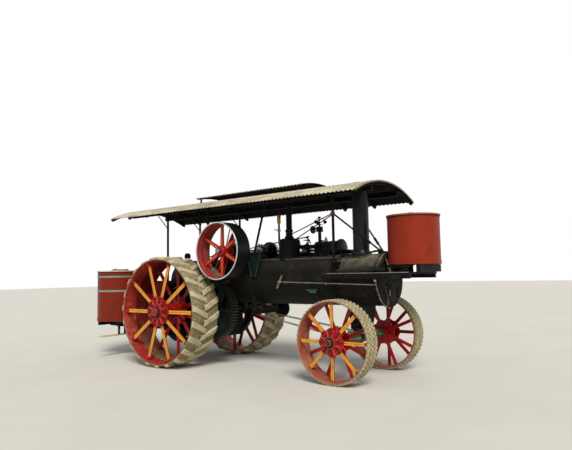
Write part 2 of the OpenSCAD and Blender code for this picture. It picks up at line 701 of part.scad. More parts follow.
// Front wheels
front_spoke_y0 = front_outer_y - 46;
front_spoke_y1 = front_inner_y + 34;
module front_wheel() translate([0, 0, front_axle_z]) difference() {
    union() {
        ring_y(front_rim_r, front_rim_r - 12, front_inner_y, front_outer_y);
        for (row = [[front_spoke_y0, 0, 36], [front_spoke_y1, 180 / front_spokes, 32]]) {
            spokes_y(front_spokes, front_spoke_w, front_hub_r - 8, front_rim_r - 5, row[0],
                row[0] + front_spoke_t, row[1]);
            lobed_flange(front_spokes, front_flange_r, front_lobe_r, row[0] + front_spoke_t - 1,
                row[0] + row[2], row[1]);
        }
        slab(front_inner_y - 20, front_outer_y + 36) circle(r = front_hub_r);
    }
    slab(front_inner_y - 21, front_outer_y + 37) circle(r = front_axle_r + seat);
}
module front_stand() stand() translate([wheelbase, 0, 0]) children();
module front_wheel_right() color("#c01f22") front_stand() mirror([0, 1, 0]) front_wheel();
module front_wheel_left() color("#c01f22") front_stand() front_wheel();
module front_tyre() translate([0, 0, front_axle_z])
    ring_y(front_tip_r, front_rim_r + seat, front_inner_y, front_outer_y);
module front_tyre_right() color("#b0a384") front_stand() mirror([0, 1, 0]) front_tyre();
module front_tyre_left() color("#b0a384") front_stand() front_tyre();

// Front axle: a deep beam with round journals, turning on the king pin
king_r = 40;
beam_top_z = front_axle_z + 90;
beam_end_y = front_inner_y - 40;
beam_half_h = 58;
beam_half_w = 62;
beam_flat_y = 180;
king_drop = 70;
saddle_plate_z = beam_top_z + run;
module front_axle() color("#2f5a43") front_stand() difference() {
    union() {
        prism(-beam_half_w, beam_half_w) polygon([[-beam_end_y, front_axle_z - beam_half_h],
            [beam_end_y, front_axle_z - beam_half_h],
            [beam_end_y, front_axle_z + beam_half_h], [beam_flat_y, beam_top_z], [-beam_flat_y, beam_top_z],
            [-beam_end_y, front_axle_z + beam_half_h]]);
        rod_y(0, front_axle_z, front_axle_r, -front_outer_y - 60, front_outer_y + 60);
        for (y = [-chain_y, chain_y])
            box(-chain_lug, 1 - beam_half_w, y - 20, y + 20, front_axle_z - 20, front_axle_z + 20);
    }
    rod_z(0, 0, king_r + seat, front_axle_z - king_drop, beam_top_z + 1);
}
chain_y = 380;
chain_r = 13;
chain_lug = 110;
chain_end_x = wheelbase - chain_lug - 2.6;
// Saddle under the smokebox, with the king pin
saddle_r = 150;
saddle_plate_t = 30;
saddle_half_w = 130;
saddle_top_y = 300;
saddle_top_z = boiler_z - 0.6 * boiler_r;
module front_saddle() color("#262a28") front_stand() difference() {
    union() {
        rod_z(0, 0, saddle_r, saddle_plate_z - run + seat, saddle_plate_z + saddle_plate_t);
        rod_z(0, 0, king_r, front_axle_z - king_drop, saddle_plate_z);
        prism(-saddle_half_w, saddle_half_w) polygon([[30 - saddle_r, saddle_plate_z + saddle_plate_t - 1],
            [saddle_r - 30, saddle_plate_z + saddle_plate_t - 1], [saddle_top_y, saddle_top_z],
            [-saddle_top_y, saddle_top_z]]);
    }
    translate([-wheelbase, 0, 0]) boiler_space();
}

// Steering: worm wheel and chain drum under the barrel, column and hand wheel on the left
drum_x = 1500;
drum_z = 1010;
drum_r = 70;
drum_chain_y = 200;
worm_r = 170;
column_y = 500;
worm_z = drum_z + worm_r + 34;
column_end = [-880, column_y, 1778];
hand_wheel_r = 170;
module steering_gear() color("#2b2b2b") stand() {
    difference() {
        union() {
            rod_y(drum_x, drum_z, drum_r, -250, 250);
            rod_y(drum_x, drum_z, 26, -340, column_y);
            rod_y(drum_x, drum_z, worm_r, column_y - 20, column_y + 20);
            for (y = [-320, 260]) box(drum_x - 45, drum_x + 45, y, y + 50, drum_z - 45, boiler_z - 180);
        }
        boiler_space();
    }
    bar([drum_x, column_y, worm_z], column_end, 17);
    rod_x(column_y, worm_z, 38, drum_x - 60, drum_x + 60);
    // Bracket that carries the worm's end, from the drum's hanger
    difference() {
        box(drum_x + 60, drum_x + 76, 262, column_y + 38, worm_z - 24, worm_z + 24);
        boiler_space();
    }
    translate(column_end) rotate([0, -74, 0]) {
        rotate_extrude() translate([hand_wheel_r, 0]) circle(r = 15, $fn = 24);
        for (i = [0 : 4]) rotate(i * 72) rotate([0, 90, 0]) cylinder(r = 9, h = hand_wheel_r);
        cylinder(r = 32, h = 40, center = true);
    }
    // Carrier of the column on the firebox's side
    box(-500, -470, firebox_r, column_y, 1500, 1540);
    bar([-485, column_y - 8, 1520], [-485, column_y - 8, 1690], 12);
}
module steering_chains() color("#3a3530") stand() for (s = [-1, 1])
    bar([drum_x + 60, s * drum_chain_y, drum_z - drum_r - chain_r - 3],
        [chain_end_x, s * chain_y, front_axle_z], chain_r);

// Front platform with the tank on it
platform_side_w = 60;
module front_platform() color("#202122") stand() {
    difference() {
        union() {
            mirror_y() box(platform_rear_x, platform_front_x, platform_y - platform_side_w, platform_y,
                platform_z - platform_h, platform_z);
            box(front_face_x + 40, platform_front_x, -platform_y, platform_y, platform_z - 30, platform_z);
            for (x = [platform_rear_x + 80, smokebox_front_x - 130])
                box(x, x + 70, -platform_y + 1, platform_y - 1, platform_z - platform_h, platform_z - 10);
        }
        boiler_space();
    }
    for (x = [front_tank_x - 260, front_tank_x + 200]) box(x, x + 60, -platform_y + 100, platform_y - 100,
        platform_z, front_tank_z);
}
// Round tank with a bead at its rim and a hatch in its top
module tank(r, z0, h, bands) difference() {
    union() {
        rod_z(0, 0, r, z0, z0 + h);
        rod_z(0, 0, r + tank_bead, z0 + h - 22, z0 + h);
        for (z = bands) rod_z(0, 0, r + band_t, z0 + h * z, z0 + h * z + band_h);
        rod_z(0, 0, hatch_r + hatch_wall, z0 + h - 1, z0 + h + hatch_h);
    }
    rod_z(0, 0, r - tank_wall, z0 + tank_wall, z0 + h - tank_wall);
    rod_z(0, 0, hatch_r, z0 + h - tank_wall - 1, z0 + h + hatch_h + 1);
}
hatch_h = 8;
hatch_wall = 14;
lid_hinge_y = hatch_r + knuckle_r + 22;
// Flat bands round the tanks: their places as shares of the tank's height
front_bands = [0.02];
rear_bands = [0.02, 0.58, 0.86];
band_t = 5;
band_h = 38;
module tank_hinge_pin(z) {
    for (x = [-60, 60]) box(x - 10, x + 10, hatch_r + hatch_wall, lid_hinge_y + 12, z,
        z + hatch_h + knuckle_r + 2);
    rod_x(lid_hinge_y, z + hatch_h + knuckle_r - 6, hinge_r, -70, 70);
}
module tank_lid(z) difference() {
    union() {
        rod_z(0, 0, hatch_r + hatch_wall, z + hatch_h + seat, z + hatch_h + tank_wall);
        box(-22, 22, 0, lid_hinge_y, z + hatch_h + seat, z + hatch_h + tank_wall);
        rod_x(lid_hinge_y, z + hatch_h + knuckle_r - 6, knuckle_r, -48, 48);
    }
    rod_x(lid_hinge_y, z + hatch_h + knuckle_r - 6, hinge_r + seat, -100, 100);
}
module front_tank_place() stand() translate([front_tank_x, 0, 0]) children();
module rear_tank_place() stand() translate([rear_tank_x, -rear_tank_y, 0]) children();
module front_tank() color("#a83228") front_tank_place() {
    tank(front_tank_r, front_tank_z, front_tank_h, front_bands);
    tank_hinge_pin(front_tank_z + front_tank_h);
}
module front_tank_lid() color("#8f2a22") front_tank_place() tank_lid(front_tank_z + front_tank_h);
module rear_tank() color("#a83228") rear_tank_place() {
    tank(rear_tank_r, rear_frame_z, rear_tank_h, rear_bands);
    tank_hinge_pin(rear_frame_z + rear_tank_h);
}
module rear_tank_lid() color("#8f2a22") rear_tank_place() tank_lid(rear_frame_z + rear_tank_h);

// Rear frame: side channels along the firebox, cross beams between and outside them, and the drawbar.
// Every member is a solid of its own, seated on the next one.
frame_rear_x = rear_tank_x - rear_tank_r + 30;
floor_t = 12;
floor_step_x = -1150;
narrow_floor_y = 600;
rear_beam_h = 90;
channel_w = 50;
channel_z = rear_frame_z - floor_t - seat;
beam_z = channel_z - rear_beam_h;
channel_front_x = -170;
beam_places = [frame_rear_x, (frame_rear_x + floor_step_x - rear_beam_w) / 2, floor_step_x - rear_beam_w];
drawbar_w = 120;
drawbar_t = 40;
drawbar_eye_x = drawbar_rear_x + drawbar_w / 2;
module rear_frame() color("#232323") stand() {
    mirror_y() box(frame_rear_x, channel_front_x, firebox_r + seat, firebox_r + channel_w,
        channel_z - rear_channel_h, channel_z);
    for (x = beam_places) {
        box(x, x + rear_beam_w, -firebox_r, firebox_r, beam_z, channel_z);
        mirror_y() box(x, x + rear_beam_w, firebox_r + channel_w + seat, rear_beam_y, beam_z, channel_z);
    }
    difference() {
        union() {
            box(drawbar_eye_x, firebox_back_x - seat, -drawbar_w / 2, drawbar_w / 2,
                drawbar_z - drawbar_t / 2, drawbar_z + drawbar_t / 2);
            rod_z(drawbar_eye_x, 0, drawbar_w / 2, drawbar_z - drawbar_t / 2, drawbar_z + drawbar_t / 2);
        }
        rod_z(drawbar_eye_x, 0, hitch_r, drawbar_z - drawbar_t, drawbar_z + drawbar_t);
    }
    // Blocks that carry the drawbar from the first and the last cross beam
    for (x = [beam_places[0], beam_places[2]]) box(x, x + rear_beam_w, -drawbar_w / 2, drawbar_w / 2,
        drawbar_z + drawbar_t / 2 + seat, beam_z - seat);
}
module footplate() color("#2a2825") stand() {
    box(floor_step_x + seat, rear_post_x - post_r - run, -narrow_floor_y, narrow_floor_y,
        rear_frame_z - floor_t, rear_frame_z);
    box(frame_rear_x, floor_step_x, -rear_beam_y, rear_beam_y, rear_frame_z - floor_t, rear_frame_z);
    // Step below the right rear corner of the floor, on two hangers
    for (y = [-rear_beam_y + 30, -rear_beam_y + 180])
        box(step_x - 12, step_x, y, y + 50, step_z, rear_frame_z - floor_t);
    box(step_x - step_w, step_x, -step_y, -step_y + step_len, step_z, step_z + 14);
}
step_x = beam_places[1] - seat;
step_w = 150;
step_len = 596;
step_y = 1140;
step_z = 430;
bunker_y = 60;
module coal_bunker() color("#7c2620") stand() difference() {
    bunker_front_x = rear_tank_x + rear_tank_r;
    box(frame_rear_x, bunker_front_x, bunker_y, rear_beam_y, rear_frame_z, rear_frame_z + bunker_h);
    box(frame_rear_x + tank_wall, bunker_front_x - tank_wall, bunker_y + tank_wall, rear_beam_y - tank_wall,
        rear_frame_z + tank_wall, rear_frame_z + bunker_h + 1);
}

// Canopy: arched sheets round the open slot, and the raised roof over it
module arch(x0, x1, cz, r, a0, a1, t) translate([x0, 0, cz]) rotate([90, 0, 90]) rotate([0, 0, 90 - a1])
    rotate_extrude(angle = a1 - a0, $fn = 256) translate([r, 0]) square([t, x1 - x0]);
module roof_front() color("#b5ab92") stand() difference() {
    arch(slot_front_x, roof_front_x, roof_cz, roof_r, -roof_angle, roof_angle, sheet_t);
    rod_z(stack_x, 0, stack_r + seat, roof_edge_z, roof_edge_z + 2 * roof_rise);
}
module roof_rear() color("#b5ab92") stand()
    arch(roof_rear_x, slot_rear_x, roof_cz, roof_r, -roof_angle, roof_angle, sheet_t);
module roof_sides() color("#b5ab92") stand() {
    arch(slot_rear_x, slot_front_x, roof_cz, roof_r, -roof_angle, -slot_angle, sheet_t);
    arch(slot_rear_x, slot_front_x, roof_cz, roof_r, slot_angle, roof_angle, sheet_t);
}
leg_y = 404;
leg_top_z = monitor_cz + sqrt(monitor_r ^ 2 - leg_y ^ 2) + 2;
module monitor_roof() color("#b5ab92") stand() {
    arch(slot_rear_x - monitor_reach, slot_front_x + monitor_reach, monitor_cz, monitor_r, -monitor_angle,
        monitor_angle, sheet_t);
    for (x = [slot_rear_x - 40, (slot_rear_x + slot_front_x) / 2, slot_front_x + 20]) difference() {
        mirror_y() box(x, x + 20, leg_y - 28, leg_y, roof_edge_z, leg_top_z);
        rod_x(0, roof_cz, roof_r + sheet_t + seat, x - 1, x + 21, $fn = 720);
    }
}
function roof_top_z(y) = roof_cz + sqrt(pow(roof_r + sheet_t, 2) - y * y);
function roof_under_z(y) = roof_cz + sqrt(roof_r * roof_r - y * y);

// Bows across and rails along, under the sheets
post_y = 450;
rail_y = post_y;
bow_d = 46;
bow_t = 40;
rail_w = 50;
rail_drop = 130;
module roof_frame() color("#1b1b1b") stand() {
    for (x = [roof_rear_x + 20, (roof_rear_x + rear_post_x) / 2, rear_post_x - bow_t / 2, slot_rear_x - 60,
        slot_front_x + 10, front_post_x - bow_t / 2, roof_front_x - 60])
        arch(x, x + bow_t, roof_cz, roof_r - bow_d - seat, -roof_angle, roof_angle, bow_d);
    // The rails' tops follow the bows that lie on them
    mirror_y() intersection() {
        box(roof_rear_x + 21, roof_front_x - 21, rail_y - rail_w / 2, rail_y + rail_w / 2, rail_z,
            roof_edge_z + roof_rise);
        rod_x(0, roof_cz, roof_r - bow_d - 2 * seat, roof_rear_x, roof_front_x, $fn = 256);
    }
}
rail_z = roof_under_z(rail_y) - rail_drop;
// The strut leans from its bracket to the right rail
module canopy_strut() difference() {
    bar([strut_x, -strut_y, strut_z - 40], [strut_x + strut_lean, -strut_y, rail_z + 40], strut_r);
    box(strut_x - 200, strut_x + 200, -2 * strut_y, 0, strut_z - 200, strut_z + seat);
    box(strut_x, strut_x + 2 * strut_lean, -2 * strut_y, 0, rail_z, rail_z + 200);
}
module posts() color("#1e1e1e") stand() {
    canopy_strut();
    mirror_y() canopy_posts();
}
module canopy_posts() {
    rod_z(rear_post_x, post_y, post_r, channel_z, rail_z);
    rod_z(mid_post_x, post_y, post_r, boiler_z + 15, rail_z);
    box(mid_post_x - 50, mid_post_x + 50, firebox_r, post_y + post_r, boiler_z - 24, boiler_z + 16);
    // The front post stands on a shoe on the barrel's shoulder
    rod_z(front_post_x, post_y, post_r, shoe_z - 1, rail_z);
    difference() {
        prism(front_post_x - 40, front_post_x + 40) polygon([[200, shoe_z], [post_y + shoe_lip, shoe_z],
            [post_y + shoe_lip, shoe_z - 30], [350, shoe_z - 130], [200, shoe_z - 130]]);
        boiler_space();
    }
    // Stays from the front posts to a lug on top of the smokebox
    difference() {
        bar([front_post_x, post_y, stay_top_z], [stay_foot_x, stay_foot_y, stay_foot_z], stay_r);
        rod_z(front_post_x, post_y, post_r + seat, shoe_z, rail_z);
        stay_lug(seat);
    }
    difference() {
        stay_lug(0);
        boiler_space();
    }
    // Braces from the rear and middle posts up to the rail
    for (x = [rear_post_x, mid_post_x])
        bar([x, post_y, rail_z - brace], [x - brace, post_y, rail_z - brace_r], brace_r);
}
module stay_lug(grow) box(stay_foot_x - 60 - grow, stay_foot_x + 60 + grow, -1, stay_lug_y + grow, boiler_z,
    stay_foot_z + stay_r + grow);
shoe_z = boiler_z + 300;
shoe_lip = 34;
stay_r = 14;
stay_lug_y = 56;
stay_foot_y = 26;
stay_top_z = rail_z - 300;
stay_foot_z = boiler_z + boiler_r + 22;
brace = 300;
brace_r = 9;
stay_foot_x = smokebox_front_x - 92;

// Ash rake hung along the boiler's right side
rake_y = -460;
rake_z = 1523;
rake_drop = 55;
rake_x = 2185;
rake_len = 1850;
rake_head = 30;
rake_half_h = 110;
rake_lean = 55;
rake_r = 9;
module ash_rake() color("#8d8676") stand() {
    bar([rake_x + rake_head / 2, rake_y, rake_z], [rake_x + rake_len, rake_y, rake_z - rake_drop], rake_r);
    slab(rake_y - 12, rake_y + 12) polygon([[rake_x - rake_lean, rake_z - rake_half_h],
        [rake_x - rake_lean + rake_head, rake_z - rake_half_h],
        [rake_x + rake_lean + rake_head, rake_z + rake_half_h], [rake_x + rake_lean, rake_z + rake_half_h]]);
    for (x = [rake_x + 130, smokebox_x - 110]) {
        z = rake_z - rake_drop * (x - rake_x) / rake_len;
        difference() {
            box(x, x + 14, rake_y - 16, rake_y + 160, z - 22, z + 14);
            boiler_space();
        }
    }
}

boiler_barrel();
smokebox();
smokebox_front();
smokebox_door();
stack();
firebox();
firebox_door();
ashpan();
steam_dome();
cylinder_block();
engine_bed();
connecting_rod();
crank_bearings();
crankshaft();
flywheel();
idler_gear();
compensating_gear();
left_countershaft();
right_pinion();
gear_brackets();
axle_brackets();
bull_gear_right();
bull_gear_left();
rear_wheel_right();
rear_wheel_left();
rear_tyre_right();
rear_tyre_left();
front_wheel_right();
front_wheel_left();
front_tyre_right();
front_tyre_left();
front_axle();
front_saddle();
steering_gear();
steering_chains();
front_platform();
front_tank();
front_tank_lid();
rear_frame();
footplate();
rear_tank();
rear_tank_lid();
coal_bunker();
roof_front();
roof_rear();
roof_sides();
monitor_roof();
roof_frame();
posts();
ash_rake();
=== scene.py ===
"""Looks of the steam traction engine: paint, rubber, rivets, piping and the corrugated canopy.

Places are in millimetres as in part.scad, with x counted from the rear axle, y to the left and z up.
Maker.done() turns them into metres in the part's frame, whose origin is under the middle of the engine.
"""

import math

import bpy
import numpy as np
from mathutils import Matrix, Vector


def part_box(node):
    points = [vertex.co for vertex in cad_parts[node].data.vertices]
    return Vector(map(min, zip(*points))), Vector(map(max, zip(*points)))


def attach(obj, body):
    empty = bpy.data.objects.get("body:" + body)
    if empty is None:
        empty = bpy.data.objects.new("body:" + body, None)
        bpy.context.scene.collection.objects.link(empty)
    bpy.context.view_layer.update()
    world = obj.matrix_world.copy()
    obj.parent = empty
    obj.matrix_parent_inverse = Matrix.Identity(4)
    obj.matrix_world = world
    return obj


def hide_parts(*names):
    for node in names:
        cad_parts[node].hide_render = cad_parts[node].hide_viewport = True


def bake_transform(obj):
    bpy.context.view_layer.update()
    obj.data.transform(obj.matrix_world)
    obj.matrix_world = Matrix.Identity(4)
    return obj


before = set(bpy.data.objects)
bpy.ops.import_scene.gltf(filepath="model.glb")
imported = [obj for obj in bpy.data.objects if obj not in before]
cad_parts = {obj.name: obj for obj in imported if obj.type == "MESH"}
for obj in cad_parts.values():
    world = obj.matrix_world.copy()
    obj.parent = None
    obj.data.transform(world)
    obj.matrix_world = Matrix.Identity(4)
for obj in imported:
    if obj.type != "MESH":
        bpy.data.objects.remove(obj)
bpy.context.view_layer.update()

# Sizes and places, as in part.scad
AXLE_X = -1087
SEAT = 0.3
REAR_Z, REAR_TIP, REAR_TREAD, REAR_RIM = 1010, 1010, 968, 942
REAR_OUT, REAR_IN, REAR_FLARE = 1318, 692, 20
REAR_HUB, REAR_FLANGE, REAR_AXLE = 128, 285, 76
FRONT_X, FRONT_Z, FRONT_TIP, FRONT_RIM = 3526, 633, 633, 597
FRONT_OUT, FRONT_IN, FRONT_FLARE = 959, 682, 14
FRONT_HUB, FRONT_FLANGE, FRONT_AXLE = 84, 215, 46
FLARE_RUN = 34
BOILER_R, BOILER_Z = 415, 1540
BARREL_X, SMOKEBOX_X, SMOKEBOX_END, FRONT_FACE = 560, 3250, 4030, 4056
SMOKE_DOOR_Z = 1335
FIREBOX_X, FIREBOX_R = -620, 425
STACK_X, STACK_R = 3550, 133
DOME_X, DOME_R, DOME_Z = 2080, 190, 2255
CRANK_X, CRANK_Z, FLYWHEEL_R = 1210, 2083, 510
FLYWHEEL_OUT, FLYWHEEL_IN = -990, -661
CYLINDER_Y, CYLINDER_R, CYLINDER_X0, CYLINDER_X1 = 620, 165, 2350, 2810
IDLER_X, IDLER_Z = 906.5, 1785.5
TOOTH_H = 30
ROOF_X0, ROOF_X1, ROOF_EDGE_Z, ROOF_RISE, ROOF_HALF = -1823, 4043, 2852, 239, 1011
ROOF_R = (ROOF_HALF ** 2 + ROOF_RISE ** 2) / (2 * ROOF_RISE)
ROOF_CZ = ROOF_EDGE_Z + ROOF_RISE - ROOF_R
SHEET, WAVE = 20, 76.2
SLOT_X0, SLOT_X1, SLOT_HALF = 260, 2650, 330
MONITOR_HALF, MONITOR_LIFT, MONITOR_REACH = 480, 105, 110
ROOF_ANGLE, SLOT_ANGLE, MONITOR_ANGLE = (
    math.asin(half / ROOF_R) for half in (ROOF_HALF, SLOT_HALF, MONITOR_HALF))
# Tanks: x and y of the axis, bottom, radius and height
FRONT_TANK, REAR_TANK = (4466, 0, 1766, 396, 757), (-2180, -545, 724, 440, 1070)
PLATFORM_Y = 500
POST_Y, RAIL_Z = 450, 2915.7
# Posts: x and the height of the foot
POSTS = ((-682, 711.7), (480, 1556), (3300, 1840))
FLOOR_Z = 724
# Centres of the wheels as (x, z)
REAR, FRONT, CRANK = (0, REAR_Z), (FRONT_X, FRONT_Z), (CRANK_X, CRANK_Z)

AHEAD, LEFT, UP = Vector((1, 0, 0)), Vector((0, 1, 0)), Vector((0, 0, 1))
BACK, RIGHT, DOWN = -AHEAD, -LEFT, -UP
AS_BUILT, MIRRORED = Matrix.Identity(4), Matrix.Scale(-1, 4, LEFT)
FULL = 2 * math.pi


def linear(code):
    """Linear RGBA of a colour written as #rrggbb."""
    parts = [int(code[i:i + 2], 16) / 255 for i in (1, 3, 5)]
    return tuple(c / 12.92 if c <= 0.04045 else ((c + 0.055) / 1.055) ** 2.4 for c in parts) + (1.0,)


def add_node(tree, kind, inputs=(), **values):
    """New node with its settings; an input is given a number, a colour or another node's output."""
    made = tree.nodes.new(kind)
    for key, value in values.items():
        setattr(made, key, value)
    for key, value in inputs:
        put(tree, value, made.inputs[key])
    return made


def put(tree, value, socket):
    """Set a socket to a value, or link another node's output to it."""
    if isinstance(value, bpy.types.NodeSocket):
        tree.links.new(value, socket)
    else:
        socket.default_value = value


class Nodes:
    """Short calls for building a material's node tree."""

    def __init__(self, name):
        self.material = bpy.data.materials.new(name)
        self.material.use_nodes = True
        self.tree = self.material.node_tree
        self.shader = self.tree.nodes["Principled BSDF"]
        self.place = self.node("ShaderNodeTexCoord").outputs["Object"]

    def node(self, kind, inputs=(), **values):
        return add_node(self.tree, kind, inputs, **values)

    def noise(self, scale, detail=5, roughness=0.6, stretch=None):
        place = self.place
        if stretch:
            place = self.node("ShaderNodeMapping", (("Scale", stretch), ("Vector", place))).outputs["Vector"]
        inputs = ("Scale", scale), ("Detail", detail), ("Roughness", roughness), ("Vector", place)
        return self.node("ShaderNodeTexNoise", inputs).outputs["Fac"]

    def span(self, value, low, high, to_low=0, to_high=1):
        inputs = (("Value", value), ("From Min", low), ("From Max", high), ("To Min", to_low),
                  ("To Max", to_high))
        return self.node("ShaderNodeMapRange", inputs, interpolation_type="SMOOTHSTEP").outputs["Result"]

    def times(self, a, b):
        return self.node("ShaderNodeMath", ((0, a), (1, b)), operation="MULTIPLY").outputs[0]

    def mix(self, share, a, b):
        return self.node("ShaderNodeMix", (("Factor", share), (6, a), (7, b)), data_type="RGBA").outputs[2]

    def upward(self):
        """1 on faces that look up, 0 on the rest, in the piece's own coordinates."""
        normal = self.node("ShaderNodeTexCoord").outputs["Normal"]
        return self.span(self.node("ShaderNodeSeparateXYZ", ((0, normal),)).outputs["Z"], 0.3, 0.95)


PAINTS = {}


def paint(name, colour, other, rough=0.5, metal=0, patches=2.5, dirt=None, dirt_share=0.35, dirt_scale=6,
          top_dust_and_light=None, top_share=0.6, grain=90, bump=0.12, stretch=None, shine=0.3):
    """A worn painted, rubber or metal surface: two tones in patches, dirt in blotches, and a paler colour on
    top that is dust and, on the smokebox, also painted light.
    """
    n = Nodes(name)
    tone = n.mix(n.span(n.noise(patches, stretch=stretch), 0.35, 0.65), linear(colour), linear(other))
    if dirt:
        blotch = n.noise(dirt_scale, 8, 0.7, stretch)
        blotch = n.span(blotch, 0.62 - dirt_share * 0.4, 0.78 - dirt_share * 0.2)
        tone = n.mix(n.times(blotch, 0.85), tone, linear(dirt))
    if top_dust_and_light:
        dust_and_light_on_top = n.times(n.upward(), n.span(n.noise(9, 7), 0.25, 0.75, 0.25, top_share))
        tone = n.mix(dust_and_light_on_top, tone, linear(top_dust_and_light))
    fine = n.noise(grain, 4, stretch=stretch)
    lump = n.node("ShaderNodeBump", (("Strength", bump), ("Distance", 0.004), ("Height", fine)))
    rough = n.span(fine, 0.3, 0.7, max(rough - 0.08, 0.05), min(rough + 0.12, 1))
    for key, value in (("Base Color", tone), ("Roughness", rough), ("Metallic", metal),
                       ("Specular IOR Level", shine), ("Normal", lump.outputs["Normal"])):
        put(n.tree, value, n.shader.inputs[key])
    PAINTS[name] = n.material


# Black and grey
paint("boiler_black", "#121312", "#1b1b19", 0.42, 0, 1.4, "#2d2b25", 0.24, 4, "#5d5a50", 0.42, 60, 0.09,
    shine=0.07)
# The smokebox's pale top is dust, and painted light on its lit top
paint("smokebox_grey", "#181917", "#232220", 0.6, 0, 2.2, "#3a372f", 0.28, 5, "#8b8470", 0.95, 80, 0.2,
    shine=0.07)
paint("stack_black", "#101113", "#181a1b", 0.33, 0, 1.8, "#2d2b27", 0.22, 5, grain=70, bump=0.06,
      stretch=(1, 1, 0.4), shine=0.2)
paint("frame_black", "#111211", "#1a1a19", 0.48, 0, 4, "#3b362b", 0.24, 9, "#5e5848", 0.45, 90, 0.14,
    shine=0.06)
paint("engine_black", "#111213", "#1b1c1e", 0.36, 0.1, 5, "#2c2a23", 0.26, 9, "#4b4941", 0.3, 100, 0.12,
    shine=0.1)
# Near-black: dark paint with the shade under the canopy painted into it
paint("canopy_black", "#090909", "#101010", 0.62, 0, 4, "#1b1915", 0.3, 9, shine=0.05)
paint("hose_black", "#121212", "#1c1c1c", 0.6, 0, 12, "#33302a", 0.3, 12, shine=0.12)
paint("coal", "#101010", "#1d1d1e", 0.38, 0, 14, "#34322d", 0.25, 20, grain=60, bump=0.5)
paint("flywheel_grey", "#17181a", "#222324", 0.34, 0.45, 3, "#45433d", 0.24, 9, grain=60, bump=0.08,
      stretch=(1, 6, 1))
# Red and yellow
paint("tank_red", "#8f2c15", "#7a220f", 0.42, 0, 1.4, "#5e2616", 0.3, 3.5, "#844b38", 0.3, 70, 0.1,
      (1, 1, 0.35), 0.16)
# Lighter brown of the front tank's bead: a painted highlight
paint("tank_rim_highlight", "#a9603f", "#955034", 0.5, 0, 6, "#6b3626", 0.3, 9, shine=0.16)
paint("bolt_red", "#6f0f12", "#5c0c0f", 0.35, 0, 9, "#3c120e", 0.3, 14)
# Lighter red of the hub ribs: a painted highlight on their edges
paint("rib_red_highlight", "#cf4a48", "#bd3a3a", 0.3, 0, 9, "#8f2a28", 0.3, 14)
paint("wheel_red", "#b11914", "#99130f", 0.36, 0, 5, "#651712", 0.32, 11, grain=120, bump=0.06)
paint("rim_red", "#8f1f18", "#a03628", 0.56, 0, 3.5, "#a8684f", 0.34, 5, bump=0.22)
paint("rim_worn", "#8a3a2b", "#9c5340", 0.66, 0, 4, "#b08064", 0.44, 6, bump=0.22)
# Inner half of the rear rims: a darker red as painted shade, with dust on top
paint("rim_dust_and_shade", "#6f1b14", "#5a1711", 0.66, 0, 4, "#7d4433", 0.3, 6, "#8f7c5c", 1)
# Pink-red of the flywheel rim's inside: a lighter red that is painted light on it
paint("fly_lit_pink", "#9d4640", "#8c3833", 0.52, 0, 4, "#6f4238", 0.36, 8)
paint("hub_brown", "#8d3828", "#752b1f", 0.42, 0, 9, "#5b2f26", 0.3, 16)
paint("spoke_yellow", "#e4ae36", "#d3982b", 0.4, 0, 6, "#9c6a2a", 0.26, 13, grain=120, bump=0.06)
paint("stripe_orange", "#d6702c", "#c55f26", 0.42, 0, 7, "#8c4a28", 0.25, 12)
# Green
paint("gear_green", "#14231e", "#0f1a16", 0.42, 0.1, 7, "#0e120d", 0.42, 12, "#464a3f", 0.28, 110, 0.15,
    shine=0.08)
paint("axle_green", "#27503f", "#1f4134", 0.46, 0, 5, "#5d6350", 0.36, 8, "#7c795f", 0.45, 80, 0.15)
paint("bracket_green", "#34493a", "#2a3b30", 0.45, 0, 8, "#4a4f3a", 0.34, 12)
paint("line_teal", "#4a7263", "#3c6153", 0.45, 0, 8, "#5d6a5a", 0.3, 12)
paint("tank_band", "#7d958b", "#6c867d", 0.5, 0, 6, "#8b8a78", 0.3, 9)
paint("glass_green", "#b9cfc4", "#a9c2b5", 0.1, 0, 9)
# Bare and rusty metal
paint("bright_steel", "#96999b", "#7b7e80", 0.28, 0.9, 12, "#4d4337", 0.26, 16)
paint("edge_steel", "#d3d4d2", "#bcbebc", 0.3, 0.7, 9, "#8b887f", 0.15, 15)
# Pale grey of worn edges, also used as a painted highlight on rings and edges
paint("worn_edge_and_highlight", "#8a877b", "#716e63", 0.45, 0.3, 9, "#4a463c", 0.35, 12)
paint("tooth_iron", "#43433a", "#35352e", 0.42, 0.4, 9, "#1f211b", 0.34, 12)
paint("rake_iron", "#8d816a", "#776b56", 0.68, 0.2, 9, "#594730", 0.42, 15)
paint("rust", "#7d4527", "#6a371f", 0.8, 0, 9, "#9a6338", 0.4, 20)
paint("brass", "#c79a45", "#ad8436", 0.28, 0.9, 8, "#6b5326", 0.22, 14)
paint("copper", "#9a5a3a", "#84492f", 0.35, 0.85, 8, "#4c3626", 0.3, 12)
# Canopy, rubber, wood and pale edges
paint("roof_sheet", "#cec8af", "#aca48b", 0.55, 0.2, 1.3, "#8b6c47", 0.44, 3.2, grain=50, bump=0.08,
      stretch=(1, 2.2, 1))
# Darker paint of the corrugations' valleys: painted shade
paint("roof_valley_shade", "#8f8669", "#786e55", 0.65, 0.1, 1.6, "#5d4a33", 0.4, 3.5, grain=50, bump=0.08,
      stretch=(1, 2.2, 1))
paint("roof_trim", "#b7a27c", "#9f8a66", 0.6, 0.1, 5, "#6f5537", 0.34, 9)
paint("tyre_rubber", "#b8ac88", "#c8bd9a", 0.88, 0, 5, "#7d7257", 0.36, 9, grain=160, bump=0.45)
